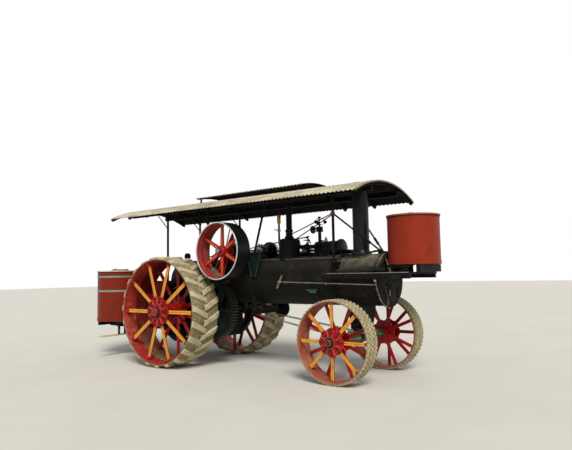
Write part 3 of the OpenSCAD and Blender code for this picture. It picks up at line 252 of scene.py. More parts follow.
# Tread floor between the lugs: darker for dirt and for painted shade in the grooves
paint("tread_floor_dirt_and_shade", "#9a8f70", "#857a5d", 0.92, 0, 6, "#5d5340", 0.4, 10, grain=150, bump=0.4)
paint("tyre_side", "#93886a", "#7f7459", 0.9, 0, 7, "#5b5240", 0.4, 12, grain=150, bump=0.3)
paint("front_rubber", "#bdb18f", "#a99d7c", 0.88, 0, 7, "#857a5e", 0.34, 12, grain=150, bump=0.4)
paint("footplate_wood", "#4b4032", "#3b3227", 0.8, 0, 2, "#6b604b", 0.42, 5, "#776b54", 0.5, 120, 0.3,
    (0.4, 6, 4))
paint("step_cream", "#d8ceb0", "#c3b795", 0.6, 0, 6, "#8a7b5c", 0.34, 11)
# Pale paint of the rear tank's bead top: a painted highlight
paint("rim_pale_highlight", "#ded6c2", "#c9bfa6", 0.5, 0.1, 7, "#8f7f66", 0.24, 14)
paint("rim_edge", "#b08568", "#9a7055", 0.7, 0, 8, "#6b5540", 0.36, 12)
paint("dial_white", "#e6e3d8", "#dcd8ca", 0.35, 0, 9)

CAD_PAINT = {
    "boiler_black": "boiler_barrel firebox steam_dome",
    "smokebox_grey": "smokebox smokebox_front smokebox_door",
    "stack_black": "stack",
    "frame_black": "firebox_door crank_bearings axle_brackets steering_gear front_platform front_saddle "
                   "rear_frame posts ashpan",
    "tank_red": "front_tank front_tank_lid rear_tank rear_tank_lid coal_bunker",
    "gear_green": "idler_gear compensating_gear gear_brackets bull_gear_right bull_gear_left right_pinion "
                  "left_countershaft",
    "engine_black": "cylinder_block engine_bed",
    "bright_steel": "connecting_rod crankshaft",
    "axle_green": "front_axle",
    "canopy_black": "roof_frame",
    "rake_iron": "ash_rake steering_chains",
    "footplate_wood": "footplate",
    # These are replaced below
    "wheel_red": "rear_wheel_right rear_wheel_left front_wheel_right front_wheel_left",
    "tyre_rubber": "rear_tyre_right rear_tyre_left front_tyre_right front_tyre_left",
    "flywheel_grey": "flywheel",
    "roof_sheet": "roof_front roof_rear roof_sides monitor_roof",
}
for paint_name, node_names in CAD_PAINT.items():
    for node_name in node_names.split():
        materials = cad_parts[node_name].data.materials
        materials.clear()
        materials.append(PAINTS[paint_name])


def repaint(node_name, paint_name, chosen):
    """Give a CAD node's faces a second paint where chosen(centre, normal) says so."""
    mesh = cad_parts[node_name].data
    mesh.materials.append(PAINTS[paint_name])
    for face in mesh.polygons:
        if chosen(face.center * 1000, face.normal):
            face.material_index = 1


# The axle's ends are bare, reddish metal
repaint("axle_brackets", "hub_brown", lambda at, normal: abs(at.y) > 1350)
# The crank disc's faces are painted, its rim is bright
repaint("crankshaft", "engine_black", lambda at, normal: abs(normal.y) > 0.9 and 485 < at.y < 560)
# The gears' teeth are worn to dull iron down to their roots
for node_name in CAD_PAINT["gear_green"].replace("gear_brackets", "").split():
    low, high = (1000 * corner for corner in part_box(node_name))
    gear_x, gear_z = (low.x + high.x) / 2, (low.z + high.z) / 2
    repaint(node_name, "tooth_iron", lambda at, normal: abs(normal.y) < 0.1
            and math.hypot(at.x - gear_x, at.z - gear_z) > high.x - gear_x - TOOTH_H)
# The beads round the tanks' tops are painted lighter than their walls, as a painted highlight
bead_highlight_paints = ("front_tank", "tank_rim_highlight", FRONT_TANK), ("rear_tank", "rim_pale_highlight", REAR_TANK)
for node_name, paint_name, (x, y, z, r, h) in bead_highlight_paints:
    repaint(node_name, paint_name, lambda at, normal: at.z > z + h / 2
            and math.hypot(at.x - x - AXLE_X, at.y - y) > r + 4)


def across(direction):
    """Two unit vectors square to a direction and to each other, and the direction itself."""
    d = Vector(direction).normalized()
    u = d.orthogonal().normalized()
    return u, d.cross(u), d


def turned(u, v, angle):
    """Unit vector at an angle from u towards v."""
    return math.cos(angle) * u + math.sin(angle) * v


def turns(count, start=0):
    """Angles evenly spaced round a full turn."""
    return [start + i * FULL / count for i in range(count)]


def circle(centre, direction, radius, count, start=0):
    """Points round a circle, counter-clockwise about the direction."""
    u, v, _ = across(direction)
    return [Vector(centre) + radius * turned(u, v, a) for a in turns(count, start)]


def polar(centre, radius, angle, y):
    """Point of a wheel with its centre at (x, z): the angle counts from the front, turning up."""
    return Vector((centre[0] + radius * math.cos(angle), y, centre[1] + radius * math.sin(angle)))


def spread(start, end, count):
    """Evenly spaced numbers, both ends among them."""
    return [start + (end - start) * i / (count - 1) for i in range(count)]


def lobed(radius, lobe, count, turn, points):
    """Outline of a hub flange with round lobes, as pairs."""
    core, out = radius - lobe, []
    for angle in turns(points):
        near = (angle - turn + math.pi / count) % (FULL / count) - math.pi / count
        inside = lobe ** 2 - (core * math.sin(near)) ** 2
        reach = core * math.cos(near) + math.sqrt(inside) if inside > 0 else 0
        reach = max(reach, core)
        out.append((reach * math.cos(angle), reach * math.sin(angle)))
    return out


class Maker:
    """Gathers many small solids into one mesh, each face with its paint."""

    def __init__(self, first_paint, matrix=AS_BUILT):
        self.verts, self.faces, self.face_paints, self.paints = [], [], [], []
        self.matrix = matrix
        self.use(first_paint)

    def use(self, name):
        if name not in self.paints:
            self.paints.append(name)
        self.current = self.paints.index(name)
        return self

    def add(self, points, faces):
        base, flip = len(self.verts), self.matrix.determinant() < 0
        self.verts += [self.matrix @ Vector(p) for p in points]
        for face in faces:
            face = [base + i for i in face]
            self.faces.append(face[::-1] if flip else face)
            self.face_paints.append(self.current)

    def loft(self, rings, closed=False):
        """Skin over rings of points that run counter-clockwise about the way from ring to ring."""
        n, count = len(rings[0]), len(rings)
        faces = []
        for i in range(count if closed else count - 1):
            a, b = i * n, (i + 1) % count * n
            faces += [(a + j, a + (j + 1) % n, b + (j + 1) % n, b + j) for j in range(n)]
        if not closed:
            faces += [tuple(range(n - 1, -1, -1)), tuple((count - 1) * n + j for j in range(n))]
        self.add([p for ring in rings for p in ring], faces)

    def rod(self, a, b, radius, sides=20):
        d = Vector(b) - Vector(a)
        self.loft([circle(a, d, radius, sides), circle(b, d, radius, sides)])

    def lathe(self, base, direction, profile, sides=48):
        """Solid of revolution: profile is (height along the direction, radius) pairs."""
        d = Vector(direction).normalized()
        self.loft([circle(Vector(base) + d * h, d, r, sides) for h, r in profile])

    def washer(self, base, direction, inner, outer, height, sides=96):
        """Flat ring."""
        d = Vector(direction).normalized()
        low, high = Vector(base), Vector(base) + d * height
        self.loft([circle(at, d, r, sides)
                   for at, r in ((low, inner), (low, outer), (high, outer), (high, inner))], closed=True)

    def hoop(self, centre, direction, radius, thickness, sides=48, around=8):
        """Round bar bent to a ring."""
        u, v, d = across(direction)
        rings = []
        for out in (turned(u, v, a) for a in turns(sides)):
            at = Vector(centre) + radius * out
            rings.append([at + thickness * turned(out, -d, b) for b in turns(around)])
        self.loft(rings, closed=True)

    def tube(self, points, radius, sides=10, closed=False):
        """Round bar or pipe through points, its section carried along without twist."""
        points = [Vector(p) for p in points]
        count = len(points)
        rings, u = [], None
        for i, p in enumerate(points):
            before = points[i - 1] if i or closed else p
            after = points[(i + 1) % count] if i < count - 1 or closed else p
            d = (after - before).normalized()
            u = across(d)[0] if u is None else (u - d * u.dot(d)).normalized()
            rings.append([p + radius * turned(u, d.cross(u), a) for a in turns(sides)])
        self.loft(rings, closed=closed)

    def pipe(self, points, radius, bend=80, sides=12):
        """Pipe with rounded corners."""
        points = [Vector(p) for p in points]
        path = [points[0]]
        for a, b, c in zip(points, points[1:], points[2:]):
            reach = min(bend, (a - b).length / 2.2, (c - b).length / 2.2)
            start, end = b + (a - b).normalized() * reach, b + (c - b).normalized() * reach
            path += [start.lerp(b, t).lerp(b.lerp(end, t), t) for t in (0, 0.25, 0.5, 0.75, 1)]
        self.tube(path + [points[-1]], radius, sides)

    def block(self, x0, x1, y0, y1, z0, z1):
        (x0, x1), (y0, y1) = sorted((x0, x1)), sorted((y0, y1))
        self.loft([[(x0, y0, z), (x1, y0, z), (x1, y1, z), (x0, y1, z)] for z in (z0, z1)])

    def plate(self, outline, y0, y1):
        """Outline in x and z, as thick as y0 to y1."""
        area = sum(a[0] * b[1] - b[0] * a[1] for a, b in zip(outline, outline[1:] + outline[:1]))
        self.loft([[(x, y, z) for x, z in (outline if area > 0 else outline[::-1])]
                   for y in (max(y0, y1), min(y0, y1))])

    def bolt(self, at, direction, radius, height):
        """Washer, hexagonal nut and the stud's end."""
        d = Vector(direction).normalized()
        at = Vector(at)
        self.rod(at - d * 2, at + d * height * 0.25, radius * 1.45, 14)
        self.rod(at + d * height * 0.25, at + d * height, radius, 6)
        self.rod(at + d * height, at + d * height * 1.35, radius * 0.5, 8)

    def nut_ring(self, centre, direction, radius, count, size, height=12):
        for p in circle(centre, direction, radius, count):
            self.bolt(p, direction, size, height)

    def rivet(self, at, direction, radius):
        d = Vector(direction).normalized()
        profile = [(0, radius), (2 + radius * 0.3, radius * 0.9), (2 + radius * 0.7, radius * 0.45)]
        self.lathe(Vector(at) - d * 2, d, profile, 8)

    def ball(self, centre, radius):
        profile = [(-radius * math.cos(t), max(radius * math.sin(t), 0.01)) for t in spread(0, math.pi, 11)]
        self.lathe(centre, UP, profile, 20)

    def spoke(self, centre, angle, width, r0, r1, y0, y1, end_width=None):
        """Flat bar of a wheel, from r0 to r1."""
        side = Vector((-math.sin(angle), 0, math.cos(angle)))
        a, b = side * width / 2, side * (end_width or width) / 2
        self.loft([[polar(centre, r0, angle, y) - a, polar(centre, r0, angle, y) + a,
                    polar(centre, r1, angle, y) + b, polar(centre, r1, angle, y) - b] for y in (y0, y1)])

    def sweep(self, centre, section, sides):
        """Ring round a wheel's centre, its section in (radius, y) pairs."""
        self.loft([[polar(centre, r, a, y) for r, y in section] for a in turns(sides)], closed=True)

    def hand_wheel(self, centre, direction, radius, wire):
        """Small valve wheel on its spindle."""
        centre = Vector(centre)
        u, v, d = across(direction)
        self.hoop(centre, direction, radius, wire, 28)
        for a in turns(4):
            self.rod(centre, centre + turned(u, v, a) * radius, wire * 0.7, 8)
        self.rod(centre - d * radius * 0.9, centre + d * wire * 1.6, wire * 1.1, 10)

    def done(self, name, body="engine", replaces=(), bevel=0, sharp=35):
        """Make the piece with its paints; it rides on its body if one is named, and hides the CAD parts it
        replaces.
        """
        mesh = bpy.data.meshes.new(name)
        points = [((x + AXLE_X) / 1000, y / 1000, z / 1000) for x, y, z in self.verts]
        mesh.from_pydata(points, [], self.faces)
        for p in self.paints:
            mesh.materials.append(PAINTS[p])
        mesh.polygons.foreach_set("material_index", self.face_paints)
        mesh.polygons.foreach_set("use_smooth", [True] * len(self.faces))
        mesh.set_sharp_from_angle(angle=math.radians(sharp))
        mesh.update()
        piece = bpy.data.objects.new(name, mesh)
        bpy.context.scene.collection.objects.link(piece)
        if bevel:
            rounding = piece.modifiers.new("rounding", "BEVEL")
            rounding.width, rounding.segments = bevel / 1000, 2
            rounding.limit_method, rounding.angle_limit = "ANGLE", math.radians(40)
            rounding.harden_normals = True
        if body:
            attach(piece, body)
        if replaces:
            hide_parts(*replaces)
        return piece


def wheel_rim(m, centre, outer, wall, y0, y1, flare):
    """Steel rim with a lip turned in at its inner edge and flared at its outer one."""
    inner = outer - wall
    m.sweep(centre, [(inner - 8, y0), (inner - 8, y0 + 16), (inner, y0 + 22), (inner, y1 - FLARE_RUN),
                     (outer + flare - wall * 0.8, y1), (outer + flare, y1), (outer, y1 - FLARE_RUN),
                     (outer, y0)], 128)


def spoke_row(m, centre, count, turn, y, hub_y, spoke, stripe, flange, ring, rib):
    """Row of spokes with its lobed hub flange, the ring on that and the ribs between the lobes, these in a
    lighter red that is a painted highlight.
    """
    cx, cz = centre
    *spoke, thick = spoke
    face = y + thick
    for angle in turns(count, turn):
        m.use("wheel_red").spoke(centre, angle, *spoke, y, face)
        if stripe:
            # The row that shows has a yellow stripe with a thin red line
            r0, r1, yellow, raised, red, top = stripe
            m.use("spoke_yellow").spoke(centre, angle, yellow, r0, r1, face, face + raised)
            m.use("wheel_red").spoke(centre, angle, red, r0, r1, face + raised, face + top)
    radius, lobe, points = flange
    outline = lobed(radius, lobe, count, turn, points)
    m.use("wheel_red").loft([[(cx + x, side, cz + z) for x, z in outline] for side in (hub_y, face - 0.5)])
    m.washer((cx, hub_y - 2, cz), LEFT, *ring)
    *rib, height, end_width = rib
    for angle in turns(count, turn + math.pi / count):
        m.use("rib_red_highlight").spoke(centre, angle, *rib, hub_y - 2, hub_y + height, end_width)


def rim_rivets(m, centre, radius, y, count, size):
    for a in turns(count, math.pi / count):
        m.rivet(polar(centre, radius, a, y), (-math.cos(a), 0, -math.sin(a)), size)


def rear_wheel(name, side):
    m = Maker("rim_red", side)
    wheel_rim(m, REAR, REAR_RIM, 14, REAR_IN, REAR_OUT, REAR_FLARE)
    # Dust lies on the rim's inner half, over a darker red that is painted shade deep inside the wheel
    wall, edge = REAR_RIM - 14, REAR_RIM + REAR_FLARE
    m.use("rim_dust_and_shade").washer((0, REAR_IN + 24, REAR_Z), LEFT, wall - 0.8, wall + 1, 330, 128)
    m.use("tyre_side").washer((0, REAR_OUT - 6, REAR_Z), LEFT, edge - 12.2, edge + 2, 6.8, 128)
    rows = (1234, 0, 1276, (270, 868, 62, 1.5, 8, 2.2)), (773, math.pi / 10, 811, None)
    for y, turn, hub_y, stripe in rows:
        spoke_row(m, REAR, 10, turn, y, hub_y, (72, 118, 926, 18), stripe, (REAR_FLANGE, 90, 160),
                  (REAR_HUB - 4, REAR_HUB + 22, 14), (18, 145, 262, 28, 10))
        for angle in turns(10, turn):
            # Clips that hold the spoke's end to the rim
            m.use("wheel_red").spoke(REAR, angle, 74, 870, 927, y + 18, y + 32)
            m.spoke(REAR, angle, 74, 914, 927.5, y - 75, y + 18)
            m.lathe(polar(REAR, 898, angle, y + 31), LEFT, [(0, 28), (10, 26), (20, 14), (21, 1)], 16)
            inward = Vector((-math.cos(angle), 0, -math.sin(angle)))
            for s in (-1, 1):
                lean = Vector((inward.z, 0, -inward.x)) * 24 * s
                m.use("wheel_red").rivet(polar(REAR, 914, angle, y - 45) + lean, inward, 10)
                m.use("bolt_red").bolt(polar(REAR, 245, angle, hub_y) + lean, LEFT, 14, 18)
            m.bolt(polar(REAR, 188, angle, hub_y), LEFT, 16, 20)
    m.use("wheel_red").lathe((0, 599, REAR_Z), LEFT, [
        (0, 118), (6, REAR_HUB), (190, REAR_HUB), (210, 122), (600, 122), (630, REAR_HUB), (685, REAR_HUB),
        (700, 122), (711, 116), (711, REAR_AXLE + 1)], 64)
    for y, tone in ((REAR_IN + 45, "rim_red"), (1050, "hose_black"), (1160, "hose_black"),
                    (REAR_OUT - 30, "hose_black")):
        rim_rivets(m.use(tone), REAR, wall, y, 46, 11)
    m.done(f"rear_wheel_{name}_dressed", f"rear_wheel_{name}", [f"rear_wheel_{name}"], 1.5)


def front_wheel(name, side):
    m = Maker("rim_worn", side)
    wheel_rim(m, FRONT, FRONT_RIM, 12, FRONT_IN, FRONT_OUT, FRONT_FLARE)
    edge = FRONT_RIM + FRONT_FLARE
    m.use("rim_edge").washer((FRONT_X, FRONT_OUT - 5, FRONT_Z), LEFT, edge - 10.6, edge + 2, 5.6, 128)
    rows = (913, 0, 949, (206, 574, 48, 1.3, 7, 1.9)), (716, math.pi / 8, 748, None)
    for y, turn, hub_y, stripe in rows:
        spoke_row(m, FRONT, 8, turn, y, hub_y, (56, 76, 584, 14), stripe, (FRONT_FLANGE, 84, 128),
                  (FRONT_HUB - 4, FRONT_HUB + 16, 12), (15, 96, 196, 26, 8))
        for angle in turns(8, turn):
            m.use("rim_worn").spoke(FRONT, angle, 60, 574, 584.5, y - 50, y + 26)
            inward = Vector((-math.cos(angle), 0, -math.sin(angle)))
            for s in (-1, 1):
                lean = Vector((inward.z, 0, -inward.x)) * 18 * s
                m.rivet(polar(FRONT, 574, angle, y - 28) + lean, inward, 9)
            m.use("wheel_red").bolt(polar(FRONT, 562, angle, y + 13.5), LEFT, 10, 12)
            for r in (138, 188):
                m.use("bolt_red").bolt(polar(FRONT, r, angle, hub_y), LEFT, 13, 16)
    m.use("wheel_red").lathe((FRONT_X, 662, FRONT_Z), LEFT, [
        (0, 76), (6, FRONT_HUB), (70, FRONT_HUB), (90, 78), (240, 78), (260, FRONT_HUB), (320, FRONT_HUB),
        (333, 76), (333, FRONT_AXLE + 1)], 56)
    rim_rivets(m.use("rim_red"), FRONT, FRONT_RIM - 12, 820, 40, 8)
    m.done(f"front_wheel_{name}_dressed", f"front_wheel_{name}", [f"front_wheel_{name}"], 1.2)


def carcass(m, centre, tread, inner, y0, y1, shoulder, sides, flare):
    """Rubber band of the tyre, rounded inside and bedded on the rim's flare outside."""
    m.sweep(centre, [(inner, y0 + 4), (tread - shoulder, y0), (tread - shoulder * 0.3, y0 + shoulder * 0.3),
                     (tread, y0 + shoulder), (tread, y1 - 6), (tread - 3, y1 - 1), (inner + flare, y1 - 1),
                     (inner, y1 - FLARE_RUN)], sides)


def rear_tyre(name, side):
    # The carcass's darker paint is painted shade between the lugs, with dirt
    m = Maker("tread_floor_dirt_and_shade", side)
    middle, half = (REAR_IN + REAR_OUT) / 2, (REAR_OUT - REAR_IN) / 2
    carcass(m, REAR, REAR_TREAD, REAR_RIM + SEAT, REAR_IN, REAR_OUT, 16, 138, REAR_FLARE)
    foot = 54
    for i in range(23):
        for s in (-1, 1):
            start = -(i + s / 4) * FULL / 23
            rings = []
            for t in spread(0, 1, 8):
                run = (half + 26) * t
                slant = 150 * run / (half + 26)
                top = 41 + 3 * math.sin(7 * t + i) + 6 * t
                tip = REAR_TIP - 1.5 - {0: 4, 1: 18}.get(t, 0) - 2 * abs(math.sin(3 * i + s))
                outline = ((REAR_TREAD - 12, -foot), (tip - 6, -top - 2), (tip, -top + 6),
                           (tip, top - 6), (tip - 6, top + 2), (REAR_TREAD - 12, foot))
                edge = [polar(REAR, reach, start + (slant + offset) / REAR_TREAD, middle + s * (run - 26))
                        for reach, offset in outline]
                rings.append(edge if s < 0 else edge[::-1])
            m.use("tyre_rubber").loft(rings)
            # Hole left by the stud at the lug's inner end, drawn as a black disc: painted shade inside the
            # hole
            hole = polar(REAR, REAR_TREAD - 2, start + 0.012, middle - s * 46)
            m.use("hose_black").rod(hole, hole + 5 * Vector((math.cos(start), 0, math.sin(start))), 17, 12)
    m.done(f"rear_tyre_{name}_dressed", f"rear_wheel_{name}", [f"rear_tyre_{name}"], 3, 50)


def front_tyre(name, side):
    # The carcass's darker paint is painted shade between the blocks, with dirt
    m = Maker("tread_floor_dirt_and_shade", side)
    carcass(m, FRONT, 616, FRONT_RIM + SEAT, FRONT_IN, FRONT_OUT, 10, 96, FRONT_FLARE)
    m.use("front_rubber")
    rows, count = 5, 56
    pitch = (FRONT_OUT - FRONT_IN) / rows
    half_y, half_a = pitch * 0.4, 23 / FRONT_TIP
    for row in range(rows):
        y, odd = FRONT_IN + pitch * (row + 0.5), row % 2
        slant = 12 / FRONT_TIP * (odd * 2 - 1)
        for angle in turns(count, math.pi / count * odd):
            rings = []
            for r, grow in ((612, 1.06), (FRONT_TIP - 4, 1), (FRONT_TIP - 0.8, 0.88)):
                rings.append([polar(FRONT, r, angle + a * half_a * grow + b * slant, y + b * half_y * grow)
                              for a, b in ((-1, -1), (-1, 1), (1, 1), (1, -1))])
            m.loft(rings)
    m.done(f"front_tyre_{name}_dressed", f"front_wheel_{name}", [f"front_tyre_{name}"], 0, 50)


for side_name, side_matrix in (("right", MIRRORED), ("left", AS_BUILT)):
    for make in (rear_wheel, rear_tyre, front_wheel, front_tyre):
        make(side_name, side_matrix)


# Ends of the axles: collars, caps and cotters
m = Maker("frame_black")
for s in (-1, 1):
    out = LEFT * s
    m.use("frame_black").lathe((0, s * 1318.5, REAR_Z), out, [
        (0, 98), (4, 102), (12, 102), (16, 98), (16, REAR_AXLE + 0.5)])
    m.use("hub_brown").lathe((0, s * 1334, REAR_Z), out, [
        (0, REAR_AXLE + 6), (18, REAR_AXLE + 6), (22, REAR_AXLE + 2), (22.5, REAR_AXLE + 0.2)])
    m.rod((-110, s * 1343, REAR_Z), (110, s * 1343, REAR_Z), 8, 8)
m.done("rear_axle_collars", bevel=1)

m = Maker("hose_black")
for s in (-1, 1):
    out = LEFT * s
    m.use("hose_black").lathe((FRONT_X, s * 995.5, FRONT_Z), out, [
        (0, 76), (3, 80), (12, 80), (16, 75), (16, FRONT_AXLE + 0.5)], 40)
    m.washer((FRONT_X, s * 1045.4, FRONT_Z), out, 13.5, 30.5, 1.2, 32)
    m.use("hub_brown").lathe((FRONT_X, s * 1011.5, FRONT_Z), out, [
        (0, 53), (30, 53), (37, 47), (39, 34), (34, 30), (34, 1)], 40)
    m.lathe((FRONT_X, s * 1045, FRONT_Z), out, [(0, 14), (5, 13), (5.2, 1)], 24)
    # The grey ring round the collar is a painted highlight
    m.use("worn_edge_and_highlight").washer((FRONT_X, s * 995.2, FRONT_Z), out, 74, 87, 6, 48)
# Bolster under the turntable, with ribs down to the beam, and yellow lines on its edges
m.use("axle_green").lathe((FRONT_X, 0, 697), UP, [
    (0, 238), (4, 242), (21, 242), (25, 238), (25, 150), (24.5, 1)], 64)
for s in (-1, 1):
    for y in (-130, 0, 130):
        x0, x1 = FRONT_X + s * 61, FRONT_X + s * math.sqrt(235 ** 2 - y * y)
        m.plate([(x0, 590), (x0 + s * 30, 590), (x1, 680), (x1, 700), (x0, 700)], y - 10, y + 10)
    for x0, x1 in ((-75, -63), (62.9, 74.9)):
        m.plate([(FRONT_X + x, z) for x, z in ((x0, 600), (x1, 600), (x1, 666), (x0, 666))], s * 160, s * 600)
    for x in (-40, 40):
        m.bolt((FRONT_X + x, s * 300, 710.5), (0, 0.1, 1), 14, 14)
        m.bolt((FRONT_X + x, s * 520, 696.5), (0, 0.1, 1), 12, 12)
m.use("spoke_yellow").washer((FRONT_X, 0, 705.5), UP, 240.5, 243.2, 6)
for s in (-1, 1):
    for x in (-75.2, 75):
        m.block(FRONT_X + x, FRONT_X + x * 1.02, s * 180, s * 580, 629, 637)
m.done("front_axle_trim", "front_axle", bevel=1)

# Flywheel: the rim's corners as (below the outer radius, y, paint of the face that follows)
m = Maker("flywheel_grey")
out, back = FLYWHEEL_OUT, FLYWHEEL_IN
# The rim's inside is a lighter pink-red, painted light
rim = ((0, out + 6, "flywheel_grey"), (0, back - 6, "edge_steel"), (6, back, "edge_steel"),
       (26, back, "fly_lit_pink"), (28, -835, "wheel_red"), (28, -875, "fly_lit_pink"), (26, out + 40, "wheel_red"),
       (25, out + 10, "edge_steel"), (20, out, "edge_steel"), (4, out, "edge_steel"))
count = 144
for (below, y, tone), (next_below, next_y, _) in zip(rim, rim[1:] + rim[:1]):
    points = [polar(CRANK, FLYWHEEL_R - drop, -a, side) for a in turns(count)
              for drop, side in ((below, y), (next_below, next_y))]
    end = len(points)
    m.use(tone).add(points, [(i, i + 1, (i + 3) % end, (i + 2) % end) for i in range(0, end, 2)])
for angle in turns(6, math.radians(30)):
    m.use("wheel_red").spoke(CRANK, angle, 78, 70, 485, -840, -812, 48)
    m.spoke(CRANK, angle, 26, 90, 485, -812, -790, 18)
    m.use("stripe_orange").spoke(CRANK, angle, 24, 115, 470, -841.5, -840, 15)
m.use("wheel_red").lathe((CRANK_X, -890, CRANK_Z), LEFT, [
    (0, 46.5), (0, 82), (8, 92), (40, 96), (100, 96), (132, 92), (140, 82), (140, 46.5)])
for angle in turns(6):
    m.bolt(polar(CRANK, 72, angle, -890), RIGHT, 8, 10)
m.use("bright_steel").lathe((CRANK_X, -960, CRANK_Z), RIGHT, [(0, 46.5), (0, 44), (6, 30)], 32)
m.done("flywheel_dressed", "crankshaft", ["flywheel"], 0, 30)

# Clutch behind the flywheel's arms: a hub, two forked arms and their wooden shoes against the rim
m = Maker("wheel_red")
m.lathe((CRANK_X, -748, CRANK_Z), LEFT, [
    (0, 47), (0, 74), (20, 82), (80, 82), (90, 110), (104, 110), (110, 100), (110, 47)], 40)
for angle in turns(2, math.radians(62)):
    m.use("wheel_red")
    for y in (-735, -695):
        m.spoke(CRANK, angle, 60, 70, 400, y, y + 16, 36)
    for lean in (-0.3, 0.3):
        m.rod(polar(CRANK, 100, angle + lean * 2.2, -705), polar(CRANK, 415, angle + lean, -705), 11, 10)
    shoe, arc = ((478, -765), (478, -672), (425, -672), (425, -765)), spread(-0.36, 0.36, 14)
    m.use("rake_iron").loft([[polar(CRANK, r, angle + t, y) for r, y in shoe] for t in arc])
m.done("clutch", "crankshaft", bevel=1)


def corrugated(m, spans, cz, hole=None):
    """Curved sheets with waves from side to side, pale above, black below as painted shade, and darker in the
    valleys as painted shade.
    """
    skin = 1.2
    for x0, x1, a0, a1 in spans:
        xs = spread(x0, x1, max(int((x1 - x0) / WAVE * 10), 8))
        angles = spread(a0, a1, max(int(abs(a1 - a0) / math.radians(1.5)), 4))
        cols, rows = len(angles), len(xs)
        grids = []
        for offset in (skin, -skin):
            points = []
            for x in xs:
                r = ROOF_R + offset + SHEET / 2 + (SHEET / 2 - 1.6) * math.cos(FULL * x / WAVE)
                points += [(x, -r * math.sin(a), cz + r * math.cos(a)) for a in angles]
            grids.append(points)
        top, valley, low = [], [], []
        for i in range(rows - 1):
            deep = math.cos(math.pi * (xs[i] + xs[i + 1]) / WAVE) < -0.62
            for j in range(cols - 1):
                a, b, c, d = i * cols + j, i * cols + j + 1, (i + 1) * cols + j + 1, (i + 1) * cols + j
                x, y = ((grids[0][a][k] + grids[0][c][k]) / 2 for k in (0, 1))
                if hole and math.hypot(x - hole[0], y) < hole[1]:
                    continue
                (valley if deep else top).append((d, c, b, a))
                low.append((a, b, c, d))
        m.use("roof_sheet").add(grids[0], top)
        # Valley faces get the darker paint: painted shade in the corrugations
        m.use("roof_valley_shade").add(grids[0], valley)
        # The sheets' underside is black: painted shade under the roof
        m.use("canopy_black").add(grids[1], low)
        n = rows * cols
        rim = [*range(cols), *range(2 * cols - 1, n, cols), *range(n - 2, n - cols - 1, -1),
               *range(n - 2 * cols, 0, -cols)]
        edge = [(a + n, b + n, b, a) for a, b in zip(rim, rim[1:] + rim[:1])]
        m.use("roof_sheet").add(grids[0] + grids[1], edge)


def roof_z(y, lift=0):
    return ROOF_CZ + math.sqrt((ROOF_R + lift) ** 2 - y * y)


def arch_bar(m, x0, x1, below, depth, angle, lift=0):
    """Bar bent to the roof's arc."""
    low, high, cz = ROOF_R - below, ROOF_R - below + depth, ROOF_CZ + lift
    corners = ((x0, low), (x0, high), (x1, high), (x1, low))
    arc = spread(-angle, angle, 40)
    m.loft([[(x, -r * math.sin(a), cz + r * math.cos(a)) for x, r in corners] for a in arc])


def roof_bolt(m, x, angle, lift=0):
    """Screw with its washer on the crest of a wave."""
    d = Vector((0, -math.sin(angle), math.cos(angle)))
    m.lathe(Vector((round(x / WAVE) * WAVE, 0, ROOF_CZ + lift)) + d * (ROOF_R + SHEET - 3), d,
            [(0, 14), (4, 12), (5, 6), (10, 5), (11, 1)], 10)


m = Maker("roof_sheet")
corrugated(m, [(ROOF_X0, SLOT_X0, -ROOF_ANGLE, ROOF_ANGLE), (SLOT_X0, SLOT_X1, -ROOF_ANGLE, -SLOT_ANGLE),
               (SLOT_X0, SLOT_X1, SLOT_ANGLE, ROOF_ANGLE), (SLOT_X1, ROOF_X1, -ROOF_ANGLE, ROOF_ANGLE)],
           ROOF_CZ, (STACK_X, 150))
for x in (ROOF_X0, ROOF_X1 - 6):
    arch_bar(m.use("roof_trim"), x, x + 6, 2, 21.5, ROOF_ANGLE)
    # The near-black bar under the trim is painted shade under the roof's edge
    arch_bar(m.use("canopy_black"), x, x + 6, 24, 22, ROOF_ANGLE)
m.use("stack_black").lathe((STACK_X, 0, roof_z(0) - 4), UP, [
    (0, STACK_R + 1), (0, 205), (26, 195), (34, 150), (36, STACK_R + 1)], 56)
m.use("roof_trim")
for x in (-1780, -1230, -680, 220, 2680, 3300, 4000):
    for i in range(-8, 9):
        if not (200 < x < 2700 and abs(i) < 3):
            roof_bolt(m, x, i * ROOF_ANGLE / 8.4)
m.done("roof_dressed", "engine", ["roof_front", "roof_rear", "roof_sides"], 0, 60)

m = Maker("roof_sheet")
corrugated(m, [(SLOT_X0 - MONITOR_REACH, SLOT_X1 + MONITOR_REACH, -MONITOR_ANGLE, MONITOR_ANGLE)],
           ROOF_CZ + MONITOR_LIFT)
# Standoffs and bars under the monitor in near-black, with the shade under the roof painted into it
m.use("canopy_black")
low, high = roof_z(390, SHEET) - 5, roof_z(390) + MONITOR_LIFT + 2
for x in (SLOT_X0 - 40, (SLOT_X0 + SLOT_X1) / 2, SLOT_X1 + 20):
    for s in (-1, 1):
        m.block(x, x + 20, s * 376, s * 404, low, high)
        m.block(x - 20, x + 40, s * 372, s * 408, low, low + 10)
    arch_bar(m, x - 4, x + 24, 20, 19, MONITOR_ANGLE, MONITOR_LIFT)
m.use("roof_trim")
for x in (SLOT_X0 - 30, (SLOT_X0 + SLOT_X1) / 2, SLOT_X1 + 30):
    for i in (-3, -2, 2, 3):
        roof_bolt(m, x, i * MONITOR_ANGLE / 3.3, MONITOR_LIFT)
m.done("monitor_dressed", "engine", ["monitor_roof"], 0, 60)


def boiler_out(angle):
    """Unit vector out of the boiler's axis, at an angle counted up from the left."""
    return Vector((0, math.cos(angle), math.sin(angle)))


def boiler_rivets(m, x, radius, angles, size=11):
    """Rivets round the boiler, on its rim at x."""
    for a in angles:
        m.rivet(Vector((x, 0, BOILER_Z)) + boiler_out(a) * radius, boiler_out(a), size)


